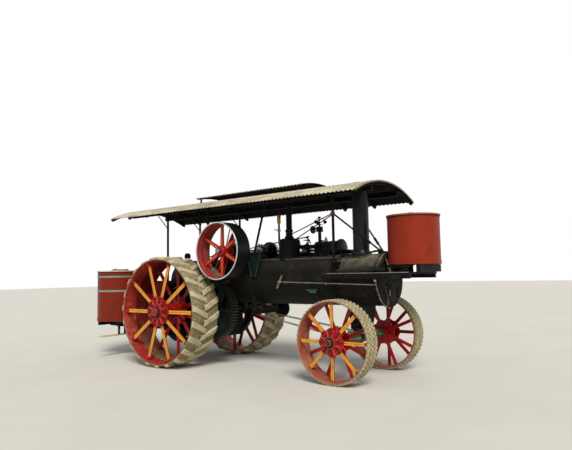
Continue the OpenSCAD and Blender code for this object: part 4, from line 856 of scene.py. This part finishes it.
def bent_plate(m, x0s, x1s, angles, r0, r1):
    """Plate bent round the barrel's right side, its angles in degrees up from the horizontal."""
    rings = []
    for a, x0, x1 in zip(angles, spread(*x0s, len(angles)), spread(*x1s, len(angles))):
        out = boiler_out(math.radians(180 - a))
        corners = ((x0, r1), (x1, r1), (x1, r0), (x0, r0))
        rings.append([Vector((x, 0, BOILER_Z)) + r * out for x, r in corners])
    m.loft(rings)


# Boiler: seams of the jacket, rivets, screws and a blank plate
m = Maker("boiler_black")
for x in (600, 1520, 2431, 3222):
    m.washer((x - 14, 0, BOILER_Z), AHEAD, BOILER_R - 2, BOILER_R + 2.5, 28, 128)
    boiler_rivets(m, x, BOILER_R + 2, spread(-0.4, math.pi, 11), 6)
for x in spread(1320, 1950, 8):
    m.rivet((x, -BOILER_R * 0.9927, BOILER_Z - BOILER_R * 0.1205), (0, -0.99, -0.12), 8)
for x in spread(-560, 500, 13):
    for z in spread(750, 1550, 6):
        if abs(x) > 180 or z > 1300:
            m.rivet((x, FIREBOX_R, z), LEFT, 10)
            m.rivet((x, -FIREBOX_R, z), RIGHT, 10)
boiler_rivets(m, BARREL_X - 30, FIREBOX_R, spread(0, math.pi, 40), 10)
back_ring = FIREBOX_R - 22
for a in spread(0, math.pi, 40):
    m.rivet(Vector((FIREBOX_X, 0, BOILER_Z)) + boiler_out(a) * back_ring, BACK, 10)
for z in spread(700, 1500, 14):
    m.rivet((FIREBOX_X, back_ring, z), BACK, 10)
    m.rivet((FIREBOX_X, -back_ring, z), BACK, 10)
m.use("smokebox_grey").washer((SMOKEBOX_X, 0, BOILER_Z), AHEAD, BOILER_R - 2, BOILER_R + 7, 78, 128)
m.washer((SMOKEBOX_END - 60, 0, BOILER_Z), AHEAD, BOILER_R - 2, BOILER_R + 8, 58, 128)
m.nut_ring((FRONT_FACE, 0, BOILER_Z), AHEAD, 385, 16, 12, 14)
m.washer((FRONT_FACE, 0, BOILER_Z), AHEAD, 345, 405, 4, 128)
m.washer((FRONT_FACE, 0, SMOKE_DOOR_Z), AHEAD, 168, 186, 8, 64)
m.use("canopy_black")
boiler_rivets(m, SMOKEBOX_X + 20, BOILER_R + 6, turns(48), 18.5)
boiler_rivets(m, SMOKEBOX_X + 58, BOILER_R + 6, turns(48, math.pi / 48), 18.5)
boiler_rivets(m, SMOKEBOX_END - 30, BOILER_R + 8, turns(44, math.pi / 44))
m.use("gear_green")
bent_plate(m, (2745, 2705), (2915, 2935), spread(-46, -19.5, 12), BOILER_R - 2, BOILER_R + 12)
m.use("line_teal")
bent_plate(m, (2712, 2708), (2930, 2932), (-22, -21.3, -20.6, -20), BOILER_R + 11, BOILER_R + 15.5)
bent_plate(m, (2765, 2760), (2885, 2890), (-28, -26.7, -25.3, -24), BOILER_R + 11, BOILER_R + 15.5)
m.done("boiler_rivets")

# Smokebox door: dished cover, strap hinges and latch
m = Maker("smokebox_grey")
m.lathe((FRONT_FACE + 14.2, 0, SMOKE_DOOR_Z), AHEAD, [(0, 155), (6, 150), (14, 120), (18, 60), (19, 1)], 56)
for z in (SMOKE_DOOR_Z - 30, SMOKE_DOOR_Z + 30):
    m.block(FRONT_FACE + 14, FRONT_FACE + 26, -100, 172, z - 10, z + 10)
m.use("bright_steel").rod((FRONT_FACE + 30, -135, SMOKE_DOOR_Z), (FRONT_FACE + 52, -135, SMOKE_DOOR_Z), 12)
m.rod((FRONT_FACE + 45, -135, SMOKE_DOOR_Z - 50), (FRONT_FACE + 45, -135, SMOKE_DOOR_Z + 50), 7)
m.done("smokebox_door_trim", "smokebox_door", bevel=1)

# Stack: base ring and bands
m = Maker("stack_black")
foot = BOILER_Z + BOILER_R + 21.5
m.lathe((STACK_X, 0, foot), UP, [(0, 166.5), (10, 163), (14, 145), (40, 137.5), (45, STACK_R)], 64)
for z in (2300, 2740):
    m.washer((STACK_X, 0, z), UP, STACK_R - 1, STACK_R + 2.5, 35, 64)
m.hoop((STACK_X, 0, 3126), UP, STACK_R - 1, 5.5, 64)
m.nut_ring((STACK_X, 0, foot + 10), UP, 155, 10, 8, 10)
m.done("stack_trim")


def level_out(angle):
    """Level unit vector at an angle from straight ahead, turning left."""
    return Vector((math.cos(angle), math.sin(angle), 0))


def tank_trim(name, tank, seams, bands, rim):
    """Bands, rim, seams and fittings of a round tank: seams are angles, bands are shares of its height, and
    rim is the lighter paint of the bead's top, a painted highlight.
    """
    x, y, z, r, h = tank
    centre = Vector((x, y, z))
    m = Maker("tank_band")
    for share in bands:
        m.washer((x, y, z + h * share - 1), UP, r + 3, r + 6.2, 40)
    # The bead's top takes the lighter rim paint, a painted highlight
    m.use(rim).hoop((x, y, z + h - 11), UP, r + 4, 7.8, 96, 10)
    m.use("tank_red").hoop((x, y, z + 11), UP, r + 1, 7.5, 96)
    m.hoop((x, y, z + h * 0.935), UP, r - 1, 5.5, 96)
    for out in (level_out(math.radians(a)) for a in seams):
        side, base = Vector((-out.y, out.x, 0)), centre + out * r
        m.loft([[base + side * a + out * b + UP * t for a, b in ((-22, 2), (22, 2), (22, -2), (-22, -2))]
                for t in (h - 20, 2)])
        for i in range(int(h / 45)):
            m.rivet(base + side * 10 + UP * (35 + i * 45), out, 6)
    for out in (level_out(a) for a in turns(60)):
        m.rivet(centre + UP * (h * 0.02 + 26) + out * (r + 4), out, 5)
    # The black band just under the bead is a painted shadow of the bead
    m.use("hose_black").washer((x, y, z + h - 40), UP, r - 1, r + 3.5, 18)
    m.use("brass")
    tap = centre + Vector((-r * 0.7, r * 0.7, 100))
    for a, b, radius in (((0, 0, 0), (-30, 30, 0), 14), ((-25, 25, 12), (-25, 25, -40), 10),
                         ((-45, 5, 26), (-5, 45, 26), 6), ((-25, 25, 8), (-25, 25, 28), 6)):
        m.rod(tap + Vector(a), tap + Vector(b), radius)
    m.done(name)


tank_trim("front_tank_trim", FRONT_TANK, (150, 40), (), "tank_rim_highlight")
tank_trim("rear_tank_trim", REAR_TANK, (-30, 150), (0.58, 0.86), "rim_pale_highlight")

for tank_name, (x, y, z, r, h) in (("front_tank", FRONT_TANK), ("rear_tank", REAR_TANK)):
    m = Maker("tank_red")
    top = z + h + 19.8
    m.lathe((x, y, top), UP, [(0, 150), (4, 146), (8, 100), (9, 1)])
    m.use("bright_steel").tube([(x + along, y - back, top + up) for along, back, up in (
        (-50, 110, 0), (-50, 105, 12), (-30, 75, 16), (30, 75, 16), (50, 105, 12), (50, 110, 0))], 6, 8)
    m.done(f"{tank_name}_lid_trim", f"{tank_name}_lid")


def chain(m, a, b, pitch=46, wire=6.5):
    """Welded chain from a to b, its links turned by a quarter one after another."""
    a, b = Vector(a), Vector(b)
    count = max(int((b - a).length / pitch), 2)
    points = [a.lerp(b, i / count) for i in range(count + 1)]
    width = wire * 2.1
    straight = pitch * 0.62 - wire * 0.2 - width
    for i, (p, q) in enumerate(zip(points, points[1:])):
        u, v, d = across(q - p)
        u = turned(u, v, i * math.pi / 2)
        m.tube([(p + q) / 2 + d * ((straight if math.cos(t) > 0 else -straight) + width * math.cos(t))
                + u * width * math.sin(t) for t in turns(12)], wire, 6, closed=True)


m = Maker("rake_iron")
for s in (-1, 1):
    chain(m, (1560, s * 200, 924), (3405, s * 380, 633))
steering = m.done("steering_chains_dressed", None, ["steering_chains"])
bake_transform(steering)

# Steam dome: flange, mouldings, safety valve round the tall vent, whistle
m = Maker("boiler_black")
m.lathe((DOME_X, 0, DOME_Z), UP, [(0, 187), (10, 184), (26, 160), (36, 110), (38, 50)], 64)
m.washer((DOME_X, 0, 2000), UP, DOME_R - 2, DOME_R + 10, 26)
m.washer((DOME_X, 0, 2205), UP, DOME_R - 2, DOME_R + 6, 40)
m.nut_ring((DOME_X, 0, 1975), UP, 205, 18, 9)
m.washer((DOME_X, 0, 2868), UP, 53, 61, 32, 48)
m.use("engine_black").lathe((DOME_X, 0, 2290), UP, [
    (0, 78), (10, 84), (28, 84), (46, 64), (115, 61), (130, 72), (152, 72), (165, 56), (166, 53)], 40)
m.rod((1850, 0, 2452), (1790, -60, 2470), 8, 10)
m.use("brass").lathe((1850, 0, 2586), UP, [
    (0, 30), (4, 37), (22, 37), (24, 34.6), (150, 34.6), (168, 30), (178, 14), (190, 12), (197, 1)], 32)
m.lathe((1850, 0, 2430), UP, [(0, 24), (6, 30), (40, 30), (48, 22)], 24)
m.done("dome_trim")

# Pipes: steam to the chest, exhaust to the smokebox, feed from the rear tank
m = Maker("engine_black")
m.pipe([(DOME_X + 100, 100, 2135), (2340, 160, 2135), (2470, 240, 2135), (2470, 330, 2135)], 38, 100)
m.lathe((2470, 300, 2135), LEFT, [(0, 40), (0, 66), (24, 66), (24.9, 40)], 32)
m.pipe([(2755, 430, 2030), (3040, 430, 2030), (3380, 170, 2000), (3380, 170, 1900)], 42, 110)
m.lathe((3380, 170, 1905), UP, [(0, 78), (26, 78), (32, 46)], 32)
m.lathe((2758, 430, 2030), AHEAD, [(0, 68), (20, 68), (24, 44)], 32)
m.ball((2350, 165, 2135), 60)
m.hand_wheel((2350, 165, 2255), UP, 62, 6)
m.use("copper").pipe([(-1800, -430, 800), (-780, -540, 800), (-690, -500, 1050), (-560, -462, 1380),
                      (-400, -442, 1430), (-400, -420, 1430)], 16)
m.pipe([(-640, 300, 1330), (-700, 330, 1330), (-700, 380, 900), (-500, 470, 800)], 13)
# Thin tan rod along the barrel's top shoulder: a painted highlight on the barrel's upper edge, with dust
m.use("rake_iron").tube([
    (3205, -180, 1900), (3180, -205, 1912.5), (2300, -205, 1912.5),
    (1480, -205, 1912.5), (1455, -180, 1900)], 9)
m.use("brass")
for x, y, z in ((2350, 165, 2200), (-640, 300, 1400)):
    m.rod((x, y, z - 70), (x, y, z + 20), 14)
m.lathe((-690, -500, 1020), UP, [(0, 20), (10, 34), (50, 34), (70, 24), (100, 24), (110, 18)], 20)
m.done("steam_pipes")

# Governor on the steam chest: three balls on their arms over the gear case, and its belt pulley
base = Vector((2470, 405, 2503))
m = Maker("engine_black")
m.rod(base - UP * 20, base + UP * 185, 11)
m.rod(base + BACK * 150 - UP * 45, base, 12)
for out in (level_out(a) for a in turns(3, 0.4)):
    weight = base + out * 105 + UP * 82
    m.tube([base + out * 16 + UP * 170, base + out * 70 + UP * 140, weight], 6, 8)
    m.tube([weight, base + out * 60 + UP * 45, base + out * 22 + UP * 32], 5, 8)
    m.ball(weight, 32)
m.lathe(base + UP * 18, UP, [(0, 24), (6, 30), (24, 30), (30, 20)], 20)
m.lathe(base + UP * 160, UP, [(0, 18), (4, 26), (20, 26), (30, 1)], 20)
m.lathe(base - UP * 92, UP, [(0, 63), (4, 68), (14, 68), (18, 63)], 32)
m.lathe(base + BACK * 165 - UP * 45, AHEAD, [
    (0, 30), (0, 66), (4, 70), (20, 72), (36, 70), (40, 66), (40, 30)], 32)
m.lathe(base - UP * 390, UP, [(0, 55), (16, 55), (20, 32)], 28)
m.use("brass").lathe((2620, 380, 2203), UP, [
    (0, 20), (12, 28), (60, 30), (75, 18), (90, 12), (100, 20), (106, 1)], 24)
m.done("governor")

# Cylinder: covers, lagging bands, gland, drain cocks; caps and oil cups of the bearings
m = Maker("engine_black")
for x, out in ((CYLINDER_X1, AHEAD), (CYLINDER_X0, BACK)):
    m.nut_ring((x, CYLINDER_Y, CRANK_Z), out, 174, 12, 9)
m.lathe((CYLINDER_X1, CYLINDER_Y, CRANK_Z), AHEAD, [(0, 150), (10, 148), (22, 110), (30, 50), (31, 1)], 56)
m.lathe((CYLINDER_X0, CYLINDER_Y, CRANK_Z), BACK, [(0, 92), (20, 92), (24, 60), (80, 56), (82, 24)], 40)
for x, out in ((2760, AHEAD), (2400, BACK)):
    for y in (360, 430, 500):
        m.bolt((x, y, 2170), out, 9, 10)
        m.bolt((x, y, 2005), out, 9, 10)
for x in spread(2430, 2730, 5):
    m.bolt((x, 350, 2203), UP, 9, 10)
for x in (1148, 1272):
    m.bolt((x, 425, 2171), UP, 16, 20)
    m.bolt((x, -375, 2163), UP, 16, 20)
for x in (1085, 1335):
    for y in (-385, -240):
        m.bolt((x, y, 1870), UP, 14, 16)
m.block(1118, 1302, -424, -326, 2074, 2086)
m.block(1118, 1302, 378, 472, 2076, 2088)
m.use("bright_steel")
for x in (2425, 2580, 2735):
    m.washer((x - 10, CYLINDER_Y, CRANK_Z), AHEAD, CYLINDER_R - 1, CYLINDER_R + 3, 20, 64)
for s in (-1, 1):
    m.washer((CRANK_X, CYLINDER_Y + s * 30 - 4, 1933), LEFT, 34, 50, 8, 40)
    m.bolt((1145, CYLINDER_Y + s * 16, 1925), (-1, 0, -0.1), 10, 16)
m.block(1938, 2096, 572, 668, 2020, 2146)
m.lathe((2016, 660, CRANK_Z), LEFT, [(0, 34), (12, 34), (16, 20), (22, 18)], 24)
m.use("brass")
for at in ((CRANK_X, 425, 2171), (CRANK_X, -375, 2163), (1860, 620, 2187), (2250, 620, 2187)):
    m.lathe(at, UP, [(0, 8), (14, 8), (18, 22), (50, 24), (56, 16), (62, 6)], 20)
cock_z = CRANK_Z - 198
for x in (2400, 2760):
    m.rod((x, CYLINDER_Y, CRANK_Z - 160), (x, CYLINDER_Y, CRANK_Z - 215), 11)
    m.rod((x, CYLINDER_Y - 10, cock_z), (x, CYLINDER_Y + 45, cock_z), 6)
m.rod((2400, CYLINDER_Y + 40, cock_z), (2760, CYLINDER_Y + 40, cock_z), 5)
m.done("cylinder_trim", bevel=0.8)

# Valve gear: two sheaves on the crankshaft, their straps and rods to the slotted link, and the reach rod
m = Maker("bright_steel")
for y in (165, 245):
    m.lathe((CRANK_X, y, CRANK_Z), LEFT, [(0, 47), (0, 104), (48, 104), (48, 47)], 56)
    m.bolt((CRANK_X, y + 24, CRANK_Z + 100), UP, 8, 4)
m.done("sheaves", "crankshaft")
m = Maker("engine_black")
for y, bend_y, end in ((169, 268, (2262, 300, 2170)), (249, 310, (2262, 345, 1990))):
    m.washer((CRANK_X, y, CRANK_Z), LEFT, 105.5, 130, 40, 64)
    for z in (CRANK_Z - 158, CRANK_Z + 128):
        m.block(CRANK_X - 14, CRANK_X + 14, y + 4, y + 36, z, z + 30)
    m.tube([(CRANK_X + 126, y + 20, CRANK_Z), (1400, y + 21, CRANK_Z), (1860, bend_y, 2100), end], 13)
m.plate([(2246, 1960), (2278, 1960), (2290, 2080), (2278, 2205), (2246, 2205), (2256, 2080)], 310, 336)
m.rod((2262, 323, 2085), (2404, 400, 2085), 13)
m.rod((2262, 338, 2190), (2230, 360, 2330), 10)
m.plate([(2200, 2300), (2260, 2320), (2262, 2350), (2196, 2336)], 350, 366)
m.rod((2300, 358, 2203), (2225, 358, 2325), 12)
m.use("rake_iron").tube([(2215, 358, 2325), (1600, 358, 2270), (600, 372, 2150), (-470, 372, 2030)], 11)
m.use("bright_steel")
m.tube([(-500, 392, 1640), (-500, 392, 1800), (-480, 386, 2030), (-470, 386, 2240)], 14, 12)
m.rod((-470, 386, 2200), (-466, 386, 2330), 20)
m.use("frame_black").plate([
    (-300, 1735), (-280, 1760), (-330, 1880), (-440, 1950), (-560, 1950), (-670, 1880),
    (-700, 1780), (-670, 1770), (-640, 1850), (-550, 1915), (-450, 1915), (-350, 1850)], 396, 408)
m.block(-530, -470, 360, 412, 1640, 1735)
m.block(-508, -492, 398, 410, 1700, 1930)
m.done("valve_gear", bevel=0.8)

# Backhead: pressure gauge, water glass, try cocks, plugs
m = Maker("frame_black")
m.tube([(-560, 0, 1955), (-560, 0, 1990), (-565, 0, 2010)], 14)
m.lathe((-560, 0, 2060), BACK, [(0, 52), (4, 66), (40, 68), (46, 64)], 40)
m.washer((FIREBOX_X, 0, 1760), BACK, 45, 70, 10, 40)
m.nut_ring((FIREBOX_X, 0, 1580), BACK, 58, 8, 7, 10)
m.lathe((FIREBOX_X, 0, 1580), BACK, [(0, 72), (12, 72), (16, 60), (18, 1)], 40)
m.use("dial_white").lathe((-606, 0, 2060), BACK, [(0, 62), (2, 60), (2.5, 1)], 40)
m.use("hose_black").rod((-609.5, 22, 2038), (-609.5, -34, 2090), 2.2, 6)
dial = Vector((-608.8, 0, 2060))
for out in (boiler_out(math.radians(-40 + 26 * i)) for i in range(11)):
    m.rod(dial + out * 54, dial + out * 46, 1.4, 5)
m.use("brass").washer((-606, 0, 2060), BACK, 60, 68, 8, 48)
for z in (1470, 1760):
    m.rod((FIREBOX_X, 120, z), (-672, 120, z), 13)
    m.rod((-664, 120, z - 30), (-664, 120, z + 30), 16)
    m.hand_wheel((-664, 170, z), LEFT, 24, 4)
m.rod((-664, 120, 1380), (-664, 120, 1450), 9)
for y, z in ((-100, 1480), (-135, 1580), (-170, 1680)):
    m.rod((FIREBOX_X, y, z), (-690, y, z), 10)
    m.rod((-680, y, z + 6), (-680, y, z - 40), 7)
    m.rod((-664, y - 30, z + 20), (-664, y + 30, z + 20), 5)
    m.rod((-664, y, z), (-664, y, z + 20), 5)
m.use("glass_green").rod((-664, 120, 1498), (-664, 120, 1732), 9)
m.use("bright_steel").tube([(-630, -180, 1860), (-700, -180, 1860), (-720, -180, 1840), (-720, -20, 1840)], 8)
m.done("backhead")

# Firebox door: inner plate, straps and handle
m = Maker("frame_black")
face = FIREBOX_X - 13.9
m.plate([(face, 1030), (face, 1270), (face - 4, 1266), (face - 4, 1034)], -155, 150)
for z in (1080, 1220):
    m.block(face - 12, face, -150, 165, z - 14, z + 14)
    for y in (-130, -40, 50, 140):
        m.bolt((face - 12, y, z), BACK, 7, 8)
m.use("bright_steel").tube([
    (face, -140, 1110), (face - 40, -140, 1110), (face - 40, -140, 1190), (face, -140, 1190)], 7, 8)
m.done("firebox_door_trim", "firebox_door", bevel=0.8)

# Clamps and thin rods of the front posts, hose on the smokebox, flanges and bolts of the green bracket
m = Maker("rust")
for s in (-1, 1):
    m.rod((3300, s * POST_Y, 2575), (3300, s * POST_Y, 2640), 34)
    m.block(3262, 3300, s * 436, s * 464, 2580, 2635)
    m.bolt((3262, s * POST_Y, 2607), BACK, 9, 12)
m.use("frame_black").rod((3280, -450, 2610), (DOME_X + 50, -20, 2360), 9, 10)
m.rod((3280, -450, 2590), (2230, -80, 2242), 9, 10)
m.use("hose_black").pipe([
    (3262, -190, 1965), (3320, -205, 1945), (3472, -240, 1925), (3600, -235, 1925),
    (3735, -225, 1935), (3824, -140, 1985), (3930, -100, 2000)], 17, 50)
m.lathe((3930, -100, 2000), (1, 0.1, 0), [(0, 18), (4, 26), (30, 26), (34, 18)], 16)
m.use("bracket_green")
x, foot, top = 1618, 1610, 2045
for y in (-464, -418):
    for low0, low1, high0, high1 in ((-55, -43, -175, -161), (33, 45, 161, 175)):
        m.plate([(x + low0, foot), (x + low1, foot), (x + high1, top), (x + high0, top)], y, y + 6)
m.use("gear_green").block(x - 172, x + 172, -470, -412, top - 16, top - 2)
for along in (-120, 90):
    m.bolt((x + along, -441, top), UP, 12, 14)
for z in (1640, 1700):
    m.bolt((x - 5, -460, z), RIGHT, 13, 14)
m.lathe((IDLER_X, -602.5, IDLER_Z), RIGHT, [(0, 60), (6, 60), (7, 42), (26, 40), (30, 30)], 24)
m.done("struts_and_hose", bevel=0.8)

# Stays' turnbuckles, chain loop with its ball, lamp iron and edges of the front platform
m = Maker("frame_black")
for s in (-1, 1):
    foot, top = Vector((3938, s * 26, 1977)), Vector((3300, s * POST_Y, 2616))
    a, b = foot.lerp(top, 0.24), foot.lerp(top, 0.36)
    m.rod(a, b, 21, 14)
    m.rod(a - (b - a) * 0.06, a, 26, 6)
    m.rod(b, b + (b - a) * 0.06, 26, 6)
    for x in spread(3240, 4540, 14):
        m.rivet((x, s * PLATFORM_Y, 1606), LEFT * s, 10)
    m.block(3180, 4600, s * 498, s * 508, 1560, 1574)
m.tube([
    (3975, -50, 1982), (3985, -200, 1915), (3975, -330, 1800), (3960, -420, 1700), (3960, -440, 1650)], 13)
m.block(4010, 4060, -50, 50, 1905, 1950)
for x in (3960, 4300):
    m.lathe((x, -466, 1651.5), UP, [(0, 30), (6, 28), (10, 16)], 16)
m.block(4598, 4610, -512, 512, 1622, 1654.5)
for y in spread(-450, 450, 9):
    m.rivet((4610, y, 1638), AHEAD, 9)
m.use("worn_edge_and_highlight").rod((3980, -45, 1945), (4300, -485, 1655), 10, 10)
# The pale strips along the platform's top edges are a painted highlight, with wear
for s in (-1, 1):
    m.block(3180, 4600, s * 496, s * 512, 1644, 1655.5)
m.use("rake_iron").lathe((4000, -474, 1566), UP, [(-12, 1), (-10, 14), (0, 20), (10, 14), (12, 1)], 14)
loop = [(4035, -478, 1552), (4050, -455, 1400), (4080, -405, 1240), (4115, -345, 1145), (4130, -290, 1140),
        (4125, -235, 1190), (4095, -205, 1300), (4064, -200, 1420)]
for a, b in zip(loop, loop[1:]):
    chain(m, a, b, 30, 4.2)
m.ball((4037, -484, 1530), 24)
m.ball((4060, -200, 1424), 16)
m.done("platform_trim")

# Suction pipe, valve and hose between the beams under the front tank
m = Maker("engine_black")
m.rod((4466, -120, 1770), (4466, -120, 1660), 30, 24)
m.lathe((4466, -120, 1766), DOWN, [(0, 55), (12, 55), (14, 32)], 28)
m.pipe([(4466, -120, 1700), (4330, -120, 1700), (4150, -170, 1700), (4150, -300, 1690)], 20)
m.use("hose_black").pipe([
    (4150, -280, 1690), (4150, -400, 1700), (4060, -440, 1690),
    (3850, -440, 1672), (3560, -440, 1672)], 22, 90)
m.use("brass").ball((4400, -120, 1700), 34)
m.rod((4400, -120, 1700), (4400, -220, 1700), 9)
m.lathe((4150, -262, 1693), RIGHT, [(0, 26), (30, 26), (34, 22)], 20)
m.use("line_teal").hand_wheel((4400, -225, 1700), LEFT, 40, 5)
m.done("suction_pipe")

# Cream step plate with chequer ribs, and the hangers' bolts
m = Maker("step_cream")
m.block(-2063.4, -1907, -1143.4, -540.6, 426.8, 447)
for i in range(20):
    y = -1125 + i * 30
    m.block(-2050, -1920, y - 3.5, y + 3.5, 446, 450)
for y in (-1135, -549):
    for x in (-2052, -1918):
        m.bolt((x, y, 446.5), UP, 7, 6)
m.use("frame_black")
for y in (-725, -575):
    for z in (480, 560, 660):
        m.bolt((-1922, y, z), BACK, 10, 10)
    m.block(-1926, -1907.5, y - 20, y + 20, 440, 500)
m.done("step_plate", bevel=1.5)

# Planks of the footplate, toe boards and bolts
rng = np.random.default_rng(7)
m = Maker("footplate_wood")
for i in range(10):
    y = -594 + i * 118.8
    m.block(-1148, -716, y + 2, y + 116.8, FLOOR_Z - 1, FLOOR_Z + 10 + 2 * rng.random())
    for x in (-1130, -735):
        m.rivet((x, y + 30, FLOOR_Z + 12), UP, 6)
        m.rivet((x, y + 90, FLOOR_Z + 12), UP, 6)
m.use("frame_black")
for s in (-1, 1):
    m.block(-1150, -716, s * 592, s * 606, FLOOR_Z - 30, FLOOR_Z + 45)
    for x in (-1100, -930, -760):
        m.rivet((x, s * 606, FLOOR_Z + 10), LEFT * s, 8)
m.lathe((-2640, 0, 580), UP, [(0, 60), (0, 58), (4, 50), (4, 23)], 32)
m.done("footplate_planks", bevel=1)

# Coal bunker: angles, rivets and its coal
m = Maker("tank_red")
X0, X1, Y0, Y1, RIM = -2590, -1740, 60, 780, 1544
for z0, z1 in ((RIM - 35, RIM + 6), (FLOOR_Z, FLOOR_Z + 35)):
    m.block(X0 - 5, X1 + 5, Y0 - 5, Y0 + 1, z0, z1)
    m.block(X0 - 5, X1 + 5, Y1 - 1, Y1 + 5, z0, z1)
    m.block(X0 - 5, X0 + 1, Y0, Y1, z0, z1)
    m.block(X1 - 1, X1 + 5, Y0, Y1, z0, z1)
low, high = FLOOR_Z + 10, RIM - 10
for x, sx in ((X0, -1), (X1, 1)):
    for y, sy in ((Y0, -1), (Y1, 1)):
        m.block(x + sx * 4, x - sx * 35, y + sy * 4, y - sy * 1, low, high)
        m.block(x + sx * 4.2, x - sx * 1, y + sy * 4.2, y - sy * 35, low, high)
        for z in spread(FLOOR_Z + 70, RIM - 70, 12):
            m.rivet((x - sx * 18, y + sy * 5, z), LEFT * sy, 7)
            m.rivet((x + sx * 5, y - sy * 18, z), AHEAD * sx, 7)
for x in spread(X0 + 80, X1 - 80, 9):
    m.rivet((x, Y0 - 5, RIM - 18), RIGHT, 7)
    m.rivet((x, Y1 + 5, RIM - 18), LEFT, 7)
m.use("coal").block(X0 + 14, X1 - 14, Y0 + 14, Y1 - 14, FLOOR_Z + 12.5, 1300)
for i in range(420):
    x, y = rng.uniform(X0 + 70, X1 - 70), rng.uniform(Y0 + 70, Y1 - 70)
    heap = 160 * math.cos((x + 2165) / 430 * 1.4) * math.cos((y - 420) / 360 * 1.4)
    size = rng.uniform(26, 56)
    at = Vector((x, y, 1300 + heap * rng.uniform(0.2, 1)))
    rings = []
    for c in (-1, 1):
        lump = []
        for a, b in ((-1, -1), (1, -1), (1, 1), (-1, 1)):
            corner = a * rng.uniform(0.6, 1.1), b * rng.uniform(0.6, 1.1), c * rng.uniform(0.5, 1)
            lump.append(at + size * Vector(corner))
        rings.append(lump)
    m.loft(rings)
m.done("bunker_trim")

# Posts: feet, caps under the rails and bolts; the rake's hooks
m = Maker("frame_black")
for x, foot in POSTS:
    for y in (-POST_Y, POST_Y):
        m.lathe((x, y, foot), UP, [(0, 46), (8, 46), (12, 34), (50, 32), (54, 22.5)], 28)
        m.lathe((x, y, RAIL_Z), DOWN, [(0, 46), (8, 46), (12, 34), (60, 31), (64, 22.5)], 28)
for y in (-462, 462):
    for x in (3275, 3325):
        m.bolt((x, y, 1840), UP, 10, 12)
m.block(1855, 1955, -478, -422, RAIL_Z - 4, RAIL_Z + 24)
m.use("rake_iron")
for x in (2322, 3147):
    m.washer((x - 8, -460, 1523 - 55 * (x - 2185) / 1850), AHEAD, 9.5, 18.5, 16, 24)
m.lathe((2170, -460, 1523.4), (1, 0, -0.03), [(0, 20), (40, 18), (75, 10.5)], 20)
m.done("post_fittings")

# Camera, from the wheels' ellipses and the roof's edges in the photograph
YAW, PITCH, ROLL = 0.6486, 0.0817, -0.018
look = Vector((-math.sin(YAW) * math.cos(PITCH), math.cos(YAW) * math.cos(PITCH), math.sin(PITCH)))
side = level_out(YAW)
upright = side.cross(look)
camera = bpy.data.objects.new("camera", bpy.data.cameras.new("camera"))
camera.data.sensor_fit, camera.data.sensor_width, camera.data.lens = "HORIZONTAL", 36, 34.155
camera.data.shift_x, camera.data.shift_y = -0.0003, 0.0078
camera.data.clip_start, camera.data.clip_end = 0.1, 200
axes = turned(side, upright, ROLL), turned(upright, -side, ROLL), -look
camera.matrix_world = Matrix(axes).transposed().to_4x4()
camera.location = (6.848, -7.812, 1.658)
bpy.context.scene.collection.objects.link(camera)
bpy.context.scene.camera = camera

# Pale floor, even sky, and one broad soft lamp from the front right
floor_mesh = bpy.data.meshes.new("floor")
corners = [(-80, -80, -0.002), (80, -80, -0.002), (80, 80, -0.002), (-80, 80, -0.002)]
floor_mesh.from_pydata(corners, [], [(0, 1, 2, 3)])
floor = bpy.data.objects.new("floor", floor_mesh)
bpy.context.scene.collection.objects.link(floor)
paint("floor", "#dedbd3", "#dad7cf", 0.9, 0, 0.6, bump=0.02)
floor_mesh.materials.append(PAINTS["floor"])

world = bpy.data.worlds.new("sky")
bpy.context.scene.world = world
world.use_nodes = True
tree = world.node_tree
tree.nodes.clear()
seen = add_node(tree, "ShaderNodeBackground", (("Color", (1, 1, 1, 1)), ("Strength", 1)))
lit = add_node(tree, "ShaderNodeBackground", (("Color", (0.96, 0.98, 1, 1)), ("Strength", 0.38)))
path = add_node(tree, "ShaderNodeLightPath")
either = path.outputs["Is Camera Ray"]
for ray in ("Is Glossy Ray", "Is Transmission Ray"):
    rays = (0, either), (1, path.outputs[ray])
    either = add_node(tree, "ShaderNodeMath", rays, use_clamp=True).outputs[0]
choice = add_node(tree, "ShaderNodeMixShader", (("Fac", either), (1, lit.outputs[0]), (2, seen.outputs[0])))
add_node(tree, "ShaderNodeOutputWorld", (("Surface", choice.outputs[0]),))

sun = bpy.data.objects.new("sun", bpy.data.lights.new("sun", "SUN"))
sun.data.energy, sun.data.angle, sun.data.color = 2.75, 0.4, (1, 0.97, 0.91)
sun.rotation_mode = "QUATERNION"
sun.rotation_quaternion = Vector((0.5, -0.52, 0.7)).to_track_quat("Z", "Y")
bpy.context.scene.collection.objects.link(sun)

bpy.context.scene.view_settings.view_transform = "Standard"
